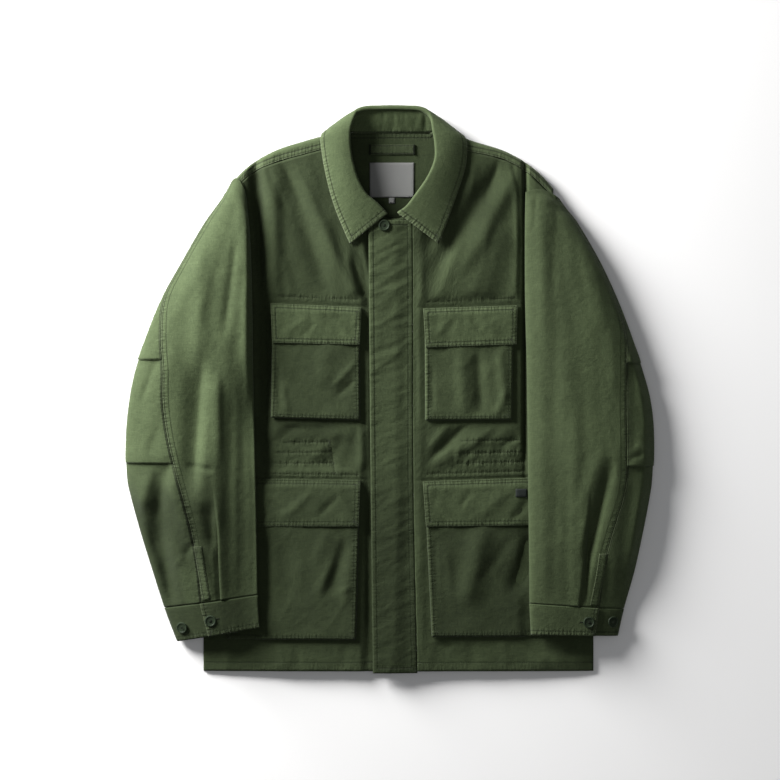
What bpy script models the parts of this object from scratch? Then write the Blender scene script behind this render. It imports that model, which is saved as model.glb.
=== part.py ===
"""Field jacket laid flat on its back, front up and sleeves down, as one named solid for each piece of cloth.

X runs across the jacket, Y from the hem to the collar, Z up from the surface that it lies on. The origin is
on that surface, at the middle of the outline. "Right" and "left" are the wearer's: right is at -X.
The tables and dimensions are in millimetres, and MM turns them into Blender's metres.
"""

import math
from collections import namedtuple

import bpy
import numpy as np

MM = 0.001

# Cloth
CLOTH = 1.5  # wall of one layer of twill with its seam turnings
TURNED = 2.0  # wall of a piece that is faced or turned in: flaps, fly, cuffs, collar
SEAM = 0.35  # gap between two pieces that are sewn together
LAY = 0.55  # gap under a piece that lies on a curved panel
HALF = CLOTH / 2

# Main sizes
HEM_Y = -388.6
YOKE_Y = 230.0  # seam between back and back yoke, hidden under the fronts
UNDERARM_Y = 60.0
BUTTON_ACROSS = 16.0

RIGHT, LEFT = -1, 1

OLIVE = (0.060, 0.095, 0.040, 1.0)
OLIVE_INSIDE = (0.045, 0.070, 0.030, 1.0)
LABEL_GREY = (0.55, 0.55, 0.53, 1.0)
TAB_GREY = (0.030, 0.034, 0.032, 1.0)
BUTTON_GREEN = (0.012, 0.018, 0.012, 1.0)


# ---------------------------------------------------------------------------- curves and small helpers
def curve(stations, values):
    """A smooth curve through values at rising stations, held level past both ends."""
    stations = np.asarray(stations, float)
    values = np.asarray(values, float)
    slopes = np.gradient(values, stations)

    def at(station):
        station = min(max(station, stations[0]), stations[-1])
        i = int(min(max(np.searchsorted(stations, station) - 1, 0), len(stations) - 2))
        span = stations[i + 1] - stations[i]
        f = (station - stations[i]) / span
        return float(
            (2 * f**3 - 3 * f**2 + 1) * values[i]
            + (f**3 - 2 * f**2 + f) * span * slopes[i]
            + (3 * f**2 - 2 * f**3) * values[i + 1]
            + (f**3 - f**2) * span * slopes[i + 1]
        )

    return at


def table_curves(rows, key):
    """One curve for each column of a table, over the column named key or, with None, over the row number."""
    stations = [n if key is None else getattr(row, key) for n, row in enumerate(rows)]
    return {name: curve(stations, [getattr(row, name) for row in rows]) for name in rows[0]._fields}


def ease(value, start, end):
    """0 before start and 1 past end, smoothly."""
    f = min(max((value - start) / (end - start), 0.0), 1.0)
    return f * f * (3 - 2 * f)


def mix(a, b, f):
    return a + (b - a) * f


def path_point(points, f):
    """The point a share f of the way along a polyline."""
    points = np.asarray(points, float)
    steps = np.hypot(*np.diff(points, axis=0).T)
    run = np.concatenate([[0.0], np.cumsum(steps)]) / steps.sum()
    return np.array([np.interp(f, run, points[:, n]) for n in range(points.shape[1])])


# ---------------------------------------------------------------------------- objects
def material(name, colour, roughness):
    made = bpy.data.materials.new(name)
    made.use_nodes = True
    shader = made.node_tree.nodes["Principled BSDF"]
    shader.inputs["Base Color"].default_value = colour
    shader.inputs["Roughness"].default_value = roughness
    shader.inputs["Metallic"].default_value = 0.0
    return made


def add_object(name, points, faces, finish):
    mesh = bpy.data.meshes.new(name)
    mesh.from_pydata([tuple(c * MM for c in point) for point in points], [], faces)
    mesh.update()
    mesh.shade_smooth()
    mesh.materials.append(finish)
    made = bpy.data.objects.new(name, mesh)
    bpy.context.scene.collection.objects.link(made)
    made.parent = jacket
    return made


def cloth(name, rows, thick, finish):
    """A closed wall about the middle surface that rows of points give."""
    wide = len(rows[0])
    points = [point for row in rows for point in row]
    faces = []
    for r in range(len(rows) - 1):
        for c in range(wide - 1):
            corner = r * wide + c
            faces.append((corner, corner + 1, corner + wide + 1, corner + wide))
    made = add_object(name, points, faces, finish)
    wall = made.modifiers.new("Wall", "SOLIDIFY")
    wall.thickness = thick * MM
    wall.offset = 0.0
    wall.use_quality_normals = True
    return made


def turned(name, profile, sides, place, normal, finish):
    """A solid of revolution from (radius, height) pairs, standing on place with its axis along normal."""
    axis = np.asarray(normal, float) / np.linalg.norm(normal)
    side = np.cross(axis, (0.0, 1.0, 0.0))
    side /= np.linalg.norm(side)
    other = np.cross(axis, side)
    points = [np.asarray(place, float) + axis * profile[0][1]]
    for radius, height in profile[1:-1]:
        for n in range(sides):
            turn = 2 * math.pi * n / sides
            points.append(place + axis * height + radius * (side * math.cos(turn) + other * math.sin(turn)))
    points.append(place + axis * profile[-1][1])
    faces = []
    last = len(points) - 1
    rings = len(profile) - 2
    for n in range(sides):
        after = (n + 1) % sides
        faces.append((0, 1 + after, 1 + n))
        top = 1 + (rings - 1) * sides
        faces.append((last, top + n, top + after))
        for ring in range(rings - 1):
            low = 1 + ring * sides
            high = low + sides
            faces.append((low + n, low + after, high + after, high + n))
    made = add_object(name, points, faces, finish)
    made.data.set_sharp_from_angle(angle=math.radians(35))
    return made


# ---------------------------------------------------------------------------- folds
# A fold is a soft ridge (rise above 0) or trough (below 0) along a line, fading at both ends.
Fold = namedtuple("Fold", "x0 y0 x1 y1 rise width")

FRONT_FOLDS = [
    Fold(-163, 300, -160, 130, 3.9, 11),
    Fold(-144, 306, -84, 126, -4.5, 13),
    Fold(-122, 312, -66, 150, 4.5, 12),
    Fold(-60, 205, -36, 60, 3.6, 9),
    Fold(84, 298, 50, 180, -5.1, 13),
    Fold(138, 290, 58, 126, 5.4, 13),
    Fold(182, 285, 124, 126, -4.2, 12),
    Fold(136, -58, 62, -104, 3.0, 10),
    Fold(-62, -54, -112, -98, 2.0, 11),
    Fold(40, 60, 42, -60, -2.7, 7),
    Fold(-36, 40, -38, -330, 2.7, 7),
]

SLEEVE_FOLDS = {
    RIGHT: [
        Fold(-232, 250, -226, 20, -3.6, 12),
        Fold(-258, 200, -262, -10, 3.1, 13),
        Fold(-272, 60, -285, -90, -5.9, 10),
        Fold(-327, -95, -313, -275, -5.3, 11),
        Fold(-300, -110, -276, -205, 3.4, 10),
        Fold(-252, -120, -244, -215, -3.6, 9),
        Fold(-212, 30, -208, -260, 2.8, 12),
    ],
    LEFT: [
        Fold(206, 250, 214, 30, 3.1, 10),
        Fold(232, 255, 262, 40, -4.2, 12),
        Fold(250, 235, 300, 60, 3.4, 12),
        Fold(330, 30, 336, -80, -3.9, 10),
        Fold(242, 60, 252, -160, 3.4, 14),
        Fold(300, -70, 268, -235, -5.9, 10),
        Fold(316, -120, 300, -260, 3.1, 10),
    ],
}


def fold_height(folds, x, y):
    total = 0.0
    for fold in folds:
        dx, dy = fold.x1 - fold.x0, fold.y1 - fold.y0
        length = math.hypot(dx, dy)
        along = ((x - fold.x0) * dx + (y - fold.y0) * dy) / length**2
        across = ((x - fold.x0) * dy - (y - fold.y0) * dx) / length
        fade = ease(along, -0.10, 0.22) * (1 - ease(along, 0.78, 1.10))
        total += fold.rise * fade * math.exp(-((across / fold.width) ** 2))
    return total


# ---------------------------------------------------------------------------- sleeves: one row a section
# out and in are the outer and inner edges of the laid sleeve. seam, pleat and join are shares of the way from
# the inner edge to the outer: the rear seam on the upper layer, the crisp pleat above the cuff, and the
# armhole's hidden line on the under layer. crown is how far the upper layer stands above the edges, roll the
# radius of the inner edge, and bow how far the section is bent towards the collar.
Section = namedtuple("Section", "out_x out_y in_x in_y seam pleat join crown roll bow")

SLEEVE = {
    RIGHT: [
        Section(-222.0, 277.0, -199.0, 272.0, 0.98, 0.36, 0.75, 6.0, 1.3, 15.0),
        Section(-227.5, 268.5, -197.0, 260.0, 0.98, 0.36, 0.68, 8.5, 2.2, 9.0),
        Section(-235.0, 257.0, -195.5, 246.0, 0.98, 0.36, 0.60, 10.0, 3.4, 5.0),
        Section(-256.5, 227.0, -192.6, 219.0, 0.98, 0.36, 0.50, 12.5, 5.0, 1.5),
        Section(-285.4, 177.4, -190.5, 177.4, 0.98, 0.36, 0.40, 15.0, 6.0, 0.0),
        Section(-312.9, 127.9, -189.1, 127.9, 0.97, 0.36, 0.40, 17.0, 6.5, 0.0),
        Section(-333.6, 78.4, -188.2, 78.4, 0.87, 0.36, 0.40, 18.0, 7.0, 0.0),
        Section(-350.1, 28.9, -187.8, 28.9, 0.765, 0.36, 0.40, 18.0, 7.0, 0.0),
        Section(-359.7, -20.6, -186.9, -20.6, 0.72, 0.35, 0.40, 17.5, 7.0, 0.0),
        Section(-363.8, -70.2, -185.6, -70.2, 0.665, 0.34, 0.40, 17.0, 7.0, 0.0),
        Section(-362.4, -119.7, -184.3, -119.7, 0.605, 0.33, 0.40, 16.0, 7.0, 0.0),
        Section(-355.0, -155.0, -183.6, -152.0, 0.575, 0.325, 0.40, 15.0, 7.0, 0.0),
        Section(-341.8, -202.2, -182.8, -194.0, 0.555, 0.33, 0.40, 14.0, 7.0, 0.0),
        Section(-326.0, -253.0, -181.9, -240.0, 0.56, 0.36, 0.40, 12.5, 7.0, 0.0),
        Section(-310.6, -300.6, -181.2, -282.3, 0.595, 0.39, 0.40, 10.5, 6.5, 0.0),
        Section(-293.0, -347.0, -178.6, -327.4, 0.60, 0.42, 0.40, 9.5, 6.5, 0.0),
    ],
    LEFT: [
        Section(234.5, 262.0, 187.6, 270.5, 0.98, 0.40, 0.93, 6.0, 1.3, 7.0),
        Section(240.0, 254.0, 187.2, 261.0, 0.98, 0.40, 0.80, 8.5, 2.2, 4.5),
        Section(247.5, 244.0, 186.9, 249.0, 0.98, 0.40, 0.66, 10.0, 3.4, 2.5),
        Section(260.7, 227.0, 186.5, 226.0, 0.98, 0.40, 0.50, 12.5, 5.0, 0.8),
        Section(289.5, 177.4, 186.4, 177.4, 0.98, 0.40, 0.40, 15.0, 6.0, 0.0),
        Section(312.9, 127.9, 186.7, 127.9, 0.98, 0.40, 0.40, 17.0, 6.5, 0.0),
        Section(332.2, 78.4, 187.8, 78.4, 0.945, 0.40, 0.40, 18.0, 7.0, 0.0),
        Section(348.7, 28.9, 189.1, 28.9, 0.855, 0.42, 0.40, 18.0, 7.0, 0.0),
        Section(361.1, -20.6, 189.8, -20.6, 0.79, 0.45, 0.40, 17.5, 7.0, 0.0),
        Section(365.2, -70.2, 190.2, -70.2, 0.775, 0.47, 0.40, 17.0, 7.0, 0.0),
        Section(362.9, -119.7, 190.5, -119.7, 0.782, 0.485, 0.40, 16.0, 7.0, 0.0),
        Section(358.3, -152.7, 190.9, -152.7, 0.77, 0.495, 0.40, 15.0, 7.0, 0.0),
        Section(348.7, -202.2, 191.6, -205.0, 0.715, 0.50, 0.40, 14.0, 7.0, 0.0),
        Section(337.7, -251.7, 192.2, -252.0, 0.69, 0.51, 0.40, 12.5, 7.0, 0.0),
        Section(323.4, -302.3, 192.6, -293.7, 0.72, 0.52, 0.40, 10.5, 6.5, 0.0),
        Section(314.9, -339.5, 194.6, -336.5, 0.76, 0.53, 0.40, 9.5, 6.5, 0.0),
    ],
}
SLEEVE_CURVES = {side: table_curves(rows, None) for side, rows in SLEEVE.items()}
CUFF_SEAM, CUFF_END = 14.0, 15.0  # row numbers of the table
OUTER_ROLL = 7.0
OUTLINE_INSET = 1.3  # from the outline in the table in to the middle of the cloth
STEP_RUN = 13.0  # width of the step where a sleeve comes down off the body's side

# Row number of each elbow tuck, and how far the cloth above it stands over the cloth below
TUCK_ROWS = {RIGHT: (6.75, 9.60), LEFT: (6.85, 9.68)}
TUCK_STEP = 1.8
CUFF_PLEAT_STEP = 1.5


# ---------------------------------------------------------------------------- body: the height of the fronts
SideRow = namedtuple("SideRow", "y right left")
BODY_SIDES = [
    SideRow(HEM_Y, -256.5, 281.3),
    SideRow(-345.0, -256.5, 281.3),
    SideRow(-200.0, -254.0, 275.0),
    SideRow(-60.0, -251.0, 261.0),
    SideRow(UNDERARM_Y, -249.0, 248.0),
]
SIDE_CURVES = table_curves(BODY_SIDES, "y")

# edge is the height of the fronts at the side seam or armhole, and crown what the middle rises above it
RiseRow = namedtuple("RiseRow", "y edge crown")
BODY_RISE = [
    RiseRow(HEM_Y, 2.8, 7.5),
    RiseRow(-250.0, 2.8, 8.0),
    RiseRow(-100.0, 2.8, 9.0),
    RiseRow(UNDERARM_Y, 3.0, 10.0),
    RiseRow(150.0, 6.0, 8.5),
    RiseRow(230.0, 10.5, 5.5),
    RiseRow(300.0, 12.0, 3.5),
    RiseRow(350.0, 12.5, 3.0),
]
RISE_CURVES = table_curves(BODY_RISE, "y")


def armhole_x(side, y):
    """The hidden armhole line, where the sleeve's under layers meet at this height."""
    rows = SLEEVE[side][::-1]
    heights = [mix(row.in_y, row.out_y, row.join) for row in rows]
    return float(np.interp(y, heights, [mix(row.in_x, row.out_x, row.join) for row in rows]))


def side_x(side, y):
    """The side seam below the underarm and the armhole above it."""
    if y > UNDERARM_Y:
        return armhole_x(side, y)
    return SIDE_CURVES["right" if side == RIGHT else "left"](y)


def front_height(x, y):
    """Height of the middle of the front's cloth, without folds."""
    low, high = side_x(RIGHT, y), side_x(LEFT, y)
    across = min(abs(2 * (x - low) / (high - low) - 1), 1.0)
    return RISE_CURVES["edge"](y) + RISE_CURVES["crown"](y) * (1 - across**3)


# Where pockets and sleeves lie on the fronts, the fronts are pressed smooth
POCKET_STACK = 6.9  # from a front's upper face to that of the pocket flap on it
Pressed = namedtuple("Pressed", "x0 x1 y0 y1")
PRESSED = [
    Pressed(-165, -36, -45, 122),
    Pressed(45, 178, -45, 119),
    Pressed(-260, -38, -347, -116),
    Pressed(45, 285, -343, -115),
    Pressed(-300, -184, -345, 300),
    Pressed(182, 300, -345, 300),
]


def folds_free(x, y):
    """1 where the front's folds are at full height and 0 where something lies on it."""
    free = 1.0
    for patch in PRESSED:
        outside = max(patch.x0 - x, x - patch.x1, patch.y0 - y, y - patch.y1)
        free *= ease(outside, 0.0, 16.0)
    return free


LAP_RISE = 2.6  # of the left front where it lies over the right
UNDERLAP_DROP = 3.2  # of the right front where it lies under the left


def front_surface(side, x, y):
    """Middle of the front's cloth, with its folds. The left front laps over the right at the centre."""
    height = front_height(x, y) + folds_free(x, y) * fold_height(FRONT_FOLDS, x, y)
    if side == LEFT:
        return height + LAP_RISE * (1 - ease(x, 25.0, 90.0))
    return height - UNDERLAP_DROP * ease(x, -42.0, -29.0)


def body_top(x, y):
    """Upper face of whatever lies under a sleeve at this point: front, or pocket and flap."""
    on_pocket = ease(y, -366, -348) * (1 - ease(y, -118, -98)) * (1 - ease(abs(x), 241, 256))
    return front_height(x, y) + HALF + POCKET_STACK * on_pocket


# ---------------------------------------------------------------------------- sleeve surfaces
def sleeve_row(side, t):
    row = Section(*(SLEEVE_CURVES[side][name](t) for name in Section._fields))
    return row._replace(out_x=row.out_x - side * OUTLINE_INSET)


def sleeve_base(side, row, t, a, thick):
    """Plan position at a share a across, and the line between the middles of the two edges."""
    x = mix(row.in_x, row.out_x, a)
    y = mix(row.in_y, row.out_y, a) + row.bow * 4 * a * (1 - a)
    inner = body_top(row.in_x, row.in_y) + LAY + thick / 2 + row.roll
    outer = thick / 2 + OUTER_ROLL
    return x, y, mix(inner, outer, a)


def upper_layer(side, t, a, thick=CLOTH):
    row = sleeve_row(side, t)
    x, y, base = sleeve_base(side, row, t, a, thick)
    crown = max(1 - abs(2 * a - 1) ** 3, 0.0) ** 0.5
    inland = ease(min(a, 1 - a), 0.02, 0.16)
    z = base + row.crown * crown + inland * fold_height(SLEEVE_FOLDS[side], x, y)
    return np.array([x, y, z])


def under_layer(side, t, a, on_floor, thick=CLOTH):
    row = sleeve_row(side, t)
    x, y, base = sleeve_base(side, row, t, a, thick)
    wide = math.hypot(row.out_x - row.in_x, row.out_y - row.in_y)
    rest = thick / 2
    if not on_floor:
        out = (x - side_x(side, y)) * side
        rest = mix(body_top(x, y) + LAY + thick / 2, thick / 2, ease(out, 0.5, STEP_RUN))
    near = min(a * wide / row.roll, (1 - a) * wide / OUTER_ROLL, 1.0)
    turn = math.sqrt(max(1 - (1 - near) ** 2, 0.0))
    return np.array([x, y, mix(base, rest, turn)])


def step_off(side, row):
    """1 below the underarm, where the sleeve steps down off the body's side, and 0 above it."""
    return 1 - ease(mix(row.in_y, row.out_y, row.join), UNDERARM_Y - 40, UNDERARM_Y + 5)


def join_share(side, t):
    """Where the two under layers meet: on the armhole line, and below the underarm just off the body."""
    row = sleeve_row(side, t)
    y = mix(row.in_y, row.out_y, row.join)
    x = side_x(side, y) + side * (STEP_RUN + 0.5) * step_off(side, row)
    return (x - row.in_x) / (row.out_x - row.in_x)


def tuck_height(side, t):
    """Saw-tooth along the sleeve at each elbow tuck: the cloth above laps over the cloth below."""
    total = 0.0
    for tuck in TUCK_ROWS[side]:
        if t <= tuck:
            total += TUCK_STEP * ease(t, tuck - 0.7, tuck)
        else:
            total -= TUCK_STEP * (1 - ease(t, tuck + 0.05, tuck + 0.7))
    return total


def sleeve_steps(side):
    """Row numbers of the rings, with a close pair at each tuck."""
    steps = list(np.linspace(0, 3, 6)) + list(np.linspace(3.6, CUFF_SEAM, 15))
    for tuck in TUCK_ROWS[side]:
        steps = [t for t in steps if abs(t - tuck) > 0.2]
        steps += [tuck - 0.3, tuck - 0.012, tuck + 0.05]
    steps.sort()
    steps[-1] = CUFF_SEAM - 0.004
    return steps


def sleeve_upper(side, finish):
    """From the hidden seam under the inner edge, round that edge and across the top to the rear seam."""
    rows = []
    for t in sleeve_steps(side):
        row = sleeve_row(side, t)
        wide = math.hypot(row.out_x - row.in_x, row.out_y - row.in_y)
        join = join_share(side, t)
        line = []
        lip = row.roll * 1.3 / wide
        landing = join - (3.0 + 10.0 * step_off(side, row)) / wide
        line.append(under_layer(side, t, join, False))
        for share in (1.0, 0.66, 0.33, 0.0):
            line.append(under_layer(side, t, mix(lip, landing, share), False))
        line.append(under_layer(side, t, row.roll * 0.5 / wide, False))
        line.append(upper_layer(side, t, 0.0))
        step = CUFF_PLEAT_STEP * ease(t, 10.6, 12.2)
        edge = 1.2 / wide
        for share in (0.06, 0.2, 0.42, 0.7, 1.0):
            point = upper_layer(side, t, row.pleat * share - (edge if share == 1 else 0))
            point[2] += step * ease(share, 0.4, 1.0)
            line.append(point)
        seam = row.seam - SEAM / wide
        for share in (0.0, 0.14, 0.32, 0.55, 0.78, 1.0):
            point = upper_layer(side, t, mix(row.pleat + edge, seam, share))
            point[2] -= step * (1 - ease(share, 0.0, 0.6))
            line.append(point)
        rows.append(line if side == RIGHT else line[::-1])
    return cloth(f"sleeve_upper_{SIDE_NAMES[side]}", rows, CLOTH, finish)


def sleeve_under(side, finish):
    """From the rear seam round the outer edge, then flat on the floor to the hidden seam."""
    rows = []
    for t in sleeve_steps(side):
        row = sleeve_row(side, t)
        wide = math.hypot(row.out_x - row.in_x, row.out_y - row.in_y)
        seam = row.seam + SEAM / wide
        lift = tuck_height(side, t)
        line = []
        for share in (0.0, 0.35, 0.65, 0.86, 0.97):
            point = upper_layer(side, t, mix(seam, 1.0, share))
            point[2] += lift * ease(share, -0.2, 0.35)
            line.append(point)
        rim = upper_layer(side, t, 1.0)
        rim[0] += side * lift * 0.6
        line.append(rim)
        line.append(under_layer(side, t, 1 - OUTER_ROLL * 0.42 / wide, True))
        lip = 1 - OUTER_ROLL * 1.1 / wide
        join = join_share(side, t) + 1.0 / wide
        for share in (0.0, 0.5, 1.0):
            line.append(under_layer(side, t, mix(lip, join, share), True))
        rows.append(line if side == RIGHT else line[::-1])
    return cloth(f"sleeve_under_{SIDE_NAMES[side]}", rows, CLOTH, finish)


SIDE_NAMES = {RIGHT: "right", LEFT: "left"}

# ---------------------------------------------------------------------------- cuffs
# The cuff overlaps itself: the share of the way across at its visible edge, and how far it runs on under it
CUFF_WRAP = {RIGHT: 0.615, LEFT: 0.735}
CUFF_OVER = 0.12
CUFF_STEP = 2.9


def cuff_point(side, t, run, thick=TURNED):
    """Run 0 is the visible overlap edge, 1 the inner edge, 2 the outer edge and 3 the hidden end."""
    wrap = CUFF_WRAP[side]
    if run <= 1:
        a = wrap * (1 - run)
        point = upper_layer(side, t, a, thick)
        point[2] += CUFF_STEP * ease(a, wrap - 0.30, wrap)
    elif run < 2:
        point = under_layer(side, t, run - 1, False, thick)
    else:
        a = mix(1.0, wrap - CUFF_OVER, run - 2)
        point = upper_layer(side, t, a, thick)
        point[2] -= 0.6 * (1 - ease(a, wrap, wrap + 0.12))
    return point


def cuff(side, finish):
    rows = []
    for t in np.linspace(CUFF_SEAM + 0.012, CUFF_END, 4):
        shares = [0.0, 0.18, 0.36, 0.54, 0.72, 0.86, 0.95, 1.0]
        row = sleeve_row(side, t)
        wide = math.hypot(row.out_x - row.in_x, row.out_y - row.in_y)
        edge = (side_x(side, mix(row.in_y, row.out_y, 0.6)) + side * 0.8 - row.in_x) / (row.out_x - row.in_x)
        shares += [1.02, 1.055, 1.12, 1 + edge * 0.5, 1 + edge, 1 + edge + (STEP_RUN - 0.5) / wide, 1.945, 1.98]
        shares += [2.0, 2.06, 2.16, 2.36, 2.6, 2.8, 3.0]
        line = [cuff_point(side, t, run) for run in shares]
        rows.append(line[::-1] if side == RIGHT else line)
    return cloth(f"cuff_{SIDE_NAMES[side]}", rows, TURNED, finish)


Placket = namedtuple("Placket", "top_t end_t at_top at_end wide")
PLACKETS = {
    RIGHT: Placket(12.35, 13.93, 0.52, 0.535, 11.0),
    LEFT: Placket(12.45, 13.93, 0.665, 0.675, 11.0),
}


def sleeve_placket(side, finish):
    """The bound edge of the sleeve's slit, laid on the upper sleeve beside the rear seam."""
    strip = PLACKETS[side]
    rows = []
    for t in np.linspace(strip.top_t, strip.end_t, 6):
        row = sleeve_row(side, t)
        wide = math.hypot(row.out_x - row.in_x, row.out_y - row.in_y)
        middle = mix(strip.at_top, strip.at_end, (t - strip.top_t) / (strip.end_t - strip.top_t))
        line = []
        for share in (-0.5, 0.0, 0.5):
            point = upper_layer(side, t, middle + share * strip.wide / wide)
            point[2] += CLOTH + LAY
            line.append(point)
        rows.append(line if side == RIGHT else line[::-1])
    return cloth(f"sleeve_placket_{SIDE_NAMES[side]}", rows, CLOTH, finish)


# ---------------------------------------------------------------------------- back and shoulders
# The yoke wraps over the shoulder: outline is where it turns, forward the seam where it meets the front, and
# neck how much of it is there, from 0 at the back neck seam to 1 at the forward seam
Shoulder = namedtuple("Shoulder", "x outline forward neck")
SHOULDERS = [
    Shoulder(-214, 287.0, 274.0, 1.0),
    Shoulder(-207, 294.5, 282.0, 1.0),
    Shoulder(-192, 308.5, 296.0, 1.0),
    Shoulder(-163, 325.5, 309.5, 1.0),
    Shoulder(-115, 342.0, 323.5, 1.0),
    Shoulder(-93, 348.0, 329.5, 1.0),
    Shoulder(-80, 350.5, 333.0, 1.0),
    Shoulder(-68, 353.0, 338.0, 0.45),
    Shoulder(-56, 355.0, 345.0, 0.0),
    Shoulder(0, 355.0, 345.0, 0.0),
    Shoulder(56, 355.0, 345.0, 0.0),
    Shoulder(70, 353.5, 338.0, 0.45),
    Shoulder(84, 350.5, 333.0, 1.0),
    Shoulder(103, 345.5, 328.5, 1.0),
    Shoulder(116, 341.0, 325.5, 1.0),
    Shoulder(163, 325.5, 313.5, 1.0),
    Shoulder(192, 308.5, 296.5, 1.0),
    Shoulder(211, 292.0, 279.5, 1.0),
    Shoulder(225, 276.0, 264.5, 1.0),
]
SHOULDER_CURVES = table_curves(SHOULDERS, "x")
YOKE_TIPS = {RIGHT: -211.0, LEFT: 225.0}
BACK_NECK_Y = 352.0


def back(finish):
    rows = []
    for y in (HEM_Y, -345, -290, -200, -60, 57, 90, 130, 180, YOKE_Y - SEAM):
        low, high = side_x(RIGHT, y), side_x(LEFT, y)
        rows.append([(mix(low, high, share), y, HALF) for share in (0.0, 0.25, 0.5, 0.75, 1.0)])
    return cloth("back", rows, CLOTH, finish)


def yoke_point(x, share):
    """Up the back, over the shoulder and forward: share runs from the lower seam to the front edge."""
    outline, forward = (SHOULDER_CURVES[name](x) for name in ("outline", "forward"))
    kept = min(max(SHOULDER_CURVES["neck"](x), 0.0), 1.0)
    side = RIGHT if x < 0 else LEFT
    top = front_surface(side, x, forward)
    radius = (top - HALF) / 2
    flat = outline - HALF - radius - YOKE_Y
    wrap = math.pi * radius
    whole = flat + wrap + (outline - HALF - radius - forward)
    run = share * mix(BACK_NECK_Y - YOKE_Y, whole, kept)
    if run <= flat or kept == 0:
        return np.array([x, YOKE_Y + run, HALF])
    if run <= flat + wrap:
        turn = (run - flat) / radius
        return np.array([x, YOKE_Y + flat + radius * math.sin(turn), HALF + radius * (1 - math.cos(turn))])
    return np.array([x, YOKE_Y + flat - (run - flat - wrap), top])


def back_yoke(finish):
    columns = [-211, -200, -187, -163, -130, -100, -84, -74, -65, -56, 0]
    columns += [56, 66, 76, 88, 104, 130, 163, 190, 205, 216, 225]
    low, high = armhole_x(RIGHT, YOKE_Y) + 1.0, armhole_x(LEFT, YOKE_Y) - 1.0
    rows = []
    for share in (0.0, 0.35, 0.62, 0.74, 0.78, 0.82, 0.86, 0.90, 0.94, 1.0):
        line = []
        for x in columns:
            point = yoke_point(x, share)
            foot = low + (high - low) * (x - columns[0]) / (columns[-1] - columns[0])
            point[0] = mix(foot, x, ease(share, 0.0, 0.7))
            point[1] += 0 if share else SEAM
            line.append(point)
        rows.append(line)
    return cloth("back_yoke", rows, CLOTH, finish)


# ---------------------------------------------------------------------------- fronts and fly
NECKLINE = {
    RIGHT: [(-4, 236), (-22, 242), (-42, 258), (-58, 282), (-68, 306), (-76, 332)],
    LEFT: [(-26, 233), (12, 234), (32, 241), (50, 262), (66, 288), (76, 312), (80, 332)],
}
UNDERLAP_X = 20.0
FLY_TOP_Y = 232.0
FLY_LEFT_EDGE = [(-28.9, FLY_TOP_Y), (-28.5, 170.0), (-26.8, -42.6), (-24.2, -280.0), (-22.7, HEM_Y - 2.2)]
FLY_RIGHT_EDGE = [(31.5, FLY_TOP_Y), (32.3, 170.0), (32.6, -190.0), (35.5, -210.0), (38.5, HEM_Y - 2.2)]


def front_top(side):
    """Neckline, then the forward shoulder seam out to the armhole."""
    stations = [side * x for x in (84, 100, 116, 140, 163, 178, 192)] + [YOKE_TIPS[side]]
    return NECKLINE[side] + [(x, SHOULDER_CURVES["forward"](x) - 0.9) for x in stations]


def front_plan(side, b, r):
    """Plan position from centre edge (b 0) to side (b 1), and from hem (r 0) to neck (r 1)."""
    top = front_top(side)
    hem_in = (UNDERLAP_X, HEM_Y) if side == RIGHT else (FLY_LEFT_EDGE[-1][0] + 2.0, HEM_Y)
    hem_out = (side_x(side, HEM_Y), HEM_Y)

    def centre(f):
        if side == RIGHT:
            return np.array([mix(UNDERLAP_X, top[0][0], ease(f, 0.93, 1.0)), mix(HEM_Y, top[0][1], f)])
        return path_point([hem_in, (-24.8, -42.6), top[0]], f)

    def outer(f):
        y = mix(HEM_Y, top[-1][1], f)
        last = ease(y, 225.0, top[-1][1])
        return np.array([mix(side_x(side, y) - side * 0.4, top[-1][0], last), y])

    bottom = np.array([mix(hem_in[0], hem_out[0], b), HEM_Y])
    corners = (
        (1 - b) * (1 - r) * np.array(hem_in)
        + b * (1 - r) * np.array(hem_out)
        + (1 - b) * r * np.array(top[0])
        + b * r * np.array(top[-1])
    )
    edges = (1 - r) * bottom + r * path_point(top, b) + (1 - b) * centre(r) + b * outer(r)
    return edges - corners


def front(side, finish):
    rows = []
    shares = [0, 0.035, 0.07, 0.105, 0.14, 0.20, 0.27, 0.34, 0.42, 0.50, 0.58, 0.66, 0.76, 0.88, 1.0]
    if side == LEFT:
        shares = [0, 0.08, 0.16, 0.22, 0.28, 0.34, 0.40, 0.47, 0.54, 0.61, 0.68, 0.76, 0.84, 0.92, 1.0]
    lengths = list(np.linspace(0, 0.46, 7)) + list(np.linspace(0.5, 1.0, 18))
    for r in lengths:
        line = []
        for b in shares:
            x, y = front_plan(side, b, r)
            line.append((x, y, front_surface(side, x, y)))
        rows.append(line if side == LEFT else line[::-1])
    return cloth(f"front_{SIDE_NAMES[side]}", rows, CLOTH, finish)


def fly_height(x, y):
    return front_surface(LEFT, x, y) + HALF + LAY + TURNED / 2


def fly(finish):
    rows = []
    for f in np.linspace(0, 1, 24):
        y = mix(HEM_Y - 2.2, FLY_TOP_Y, f)
        low = np.interp(y, [p[1] for p in FLY_LEFT_EDGE][::-1], [p[0] for p in FLY_LEFT_EDGE][::-1])
        high = np.interp(y, [p[1] for p in FLY_RIGHT_EDGE][::-1], [p[0] for p in FLY_RIGHT_EDGE][::-1])
        line = [(mix(low, high, share), y) for share in (0.0, 0.25, 0.5, 0.75, 1.0)]
        rows.append([(x, y, fly_height(x, y)) for x, y in line])
    return cloth("fly", rows, TURNED, finish)


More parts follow.
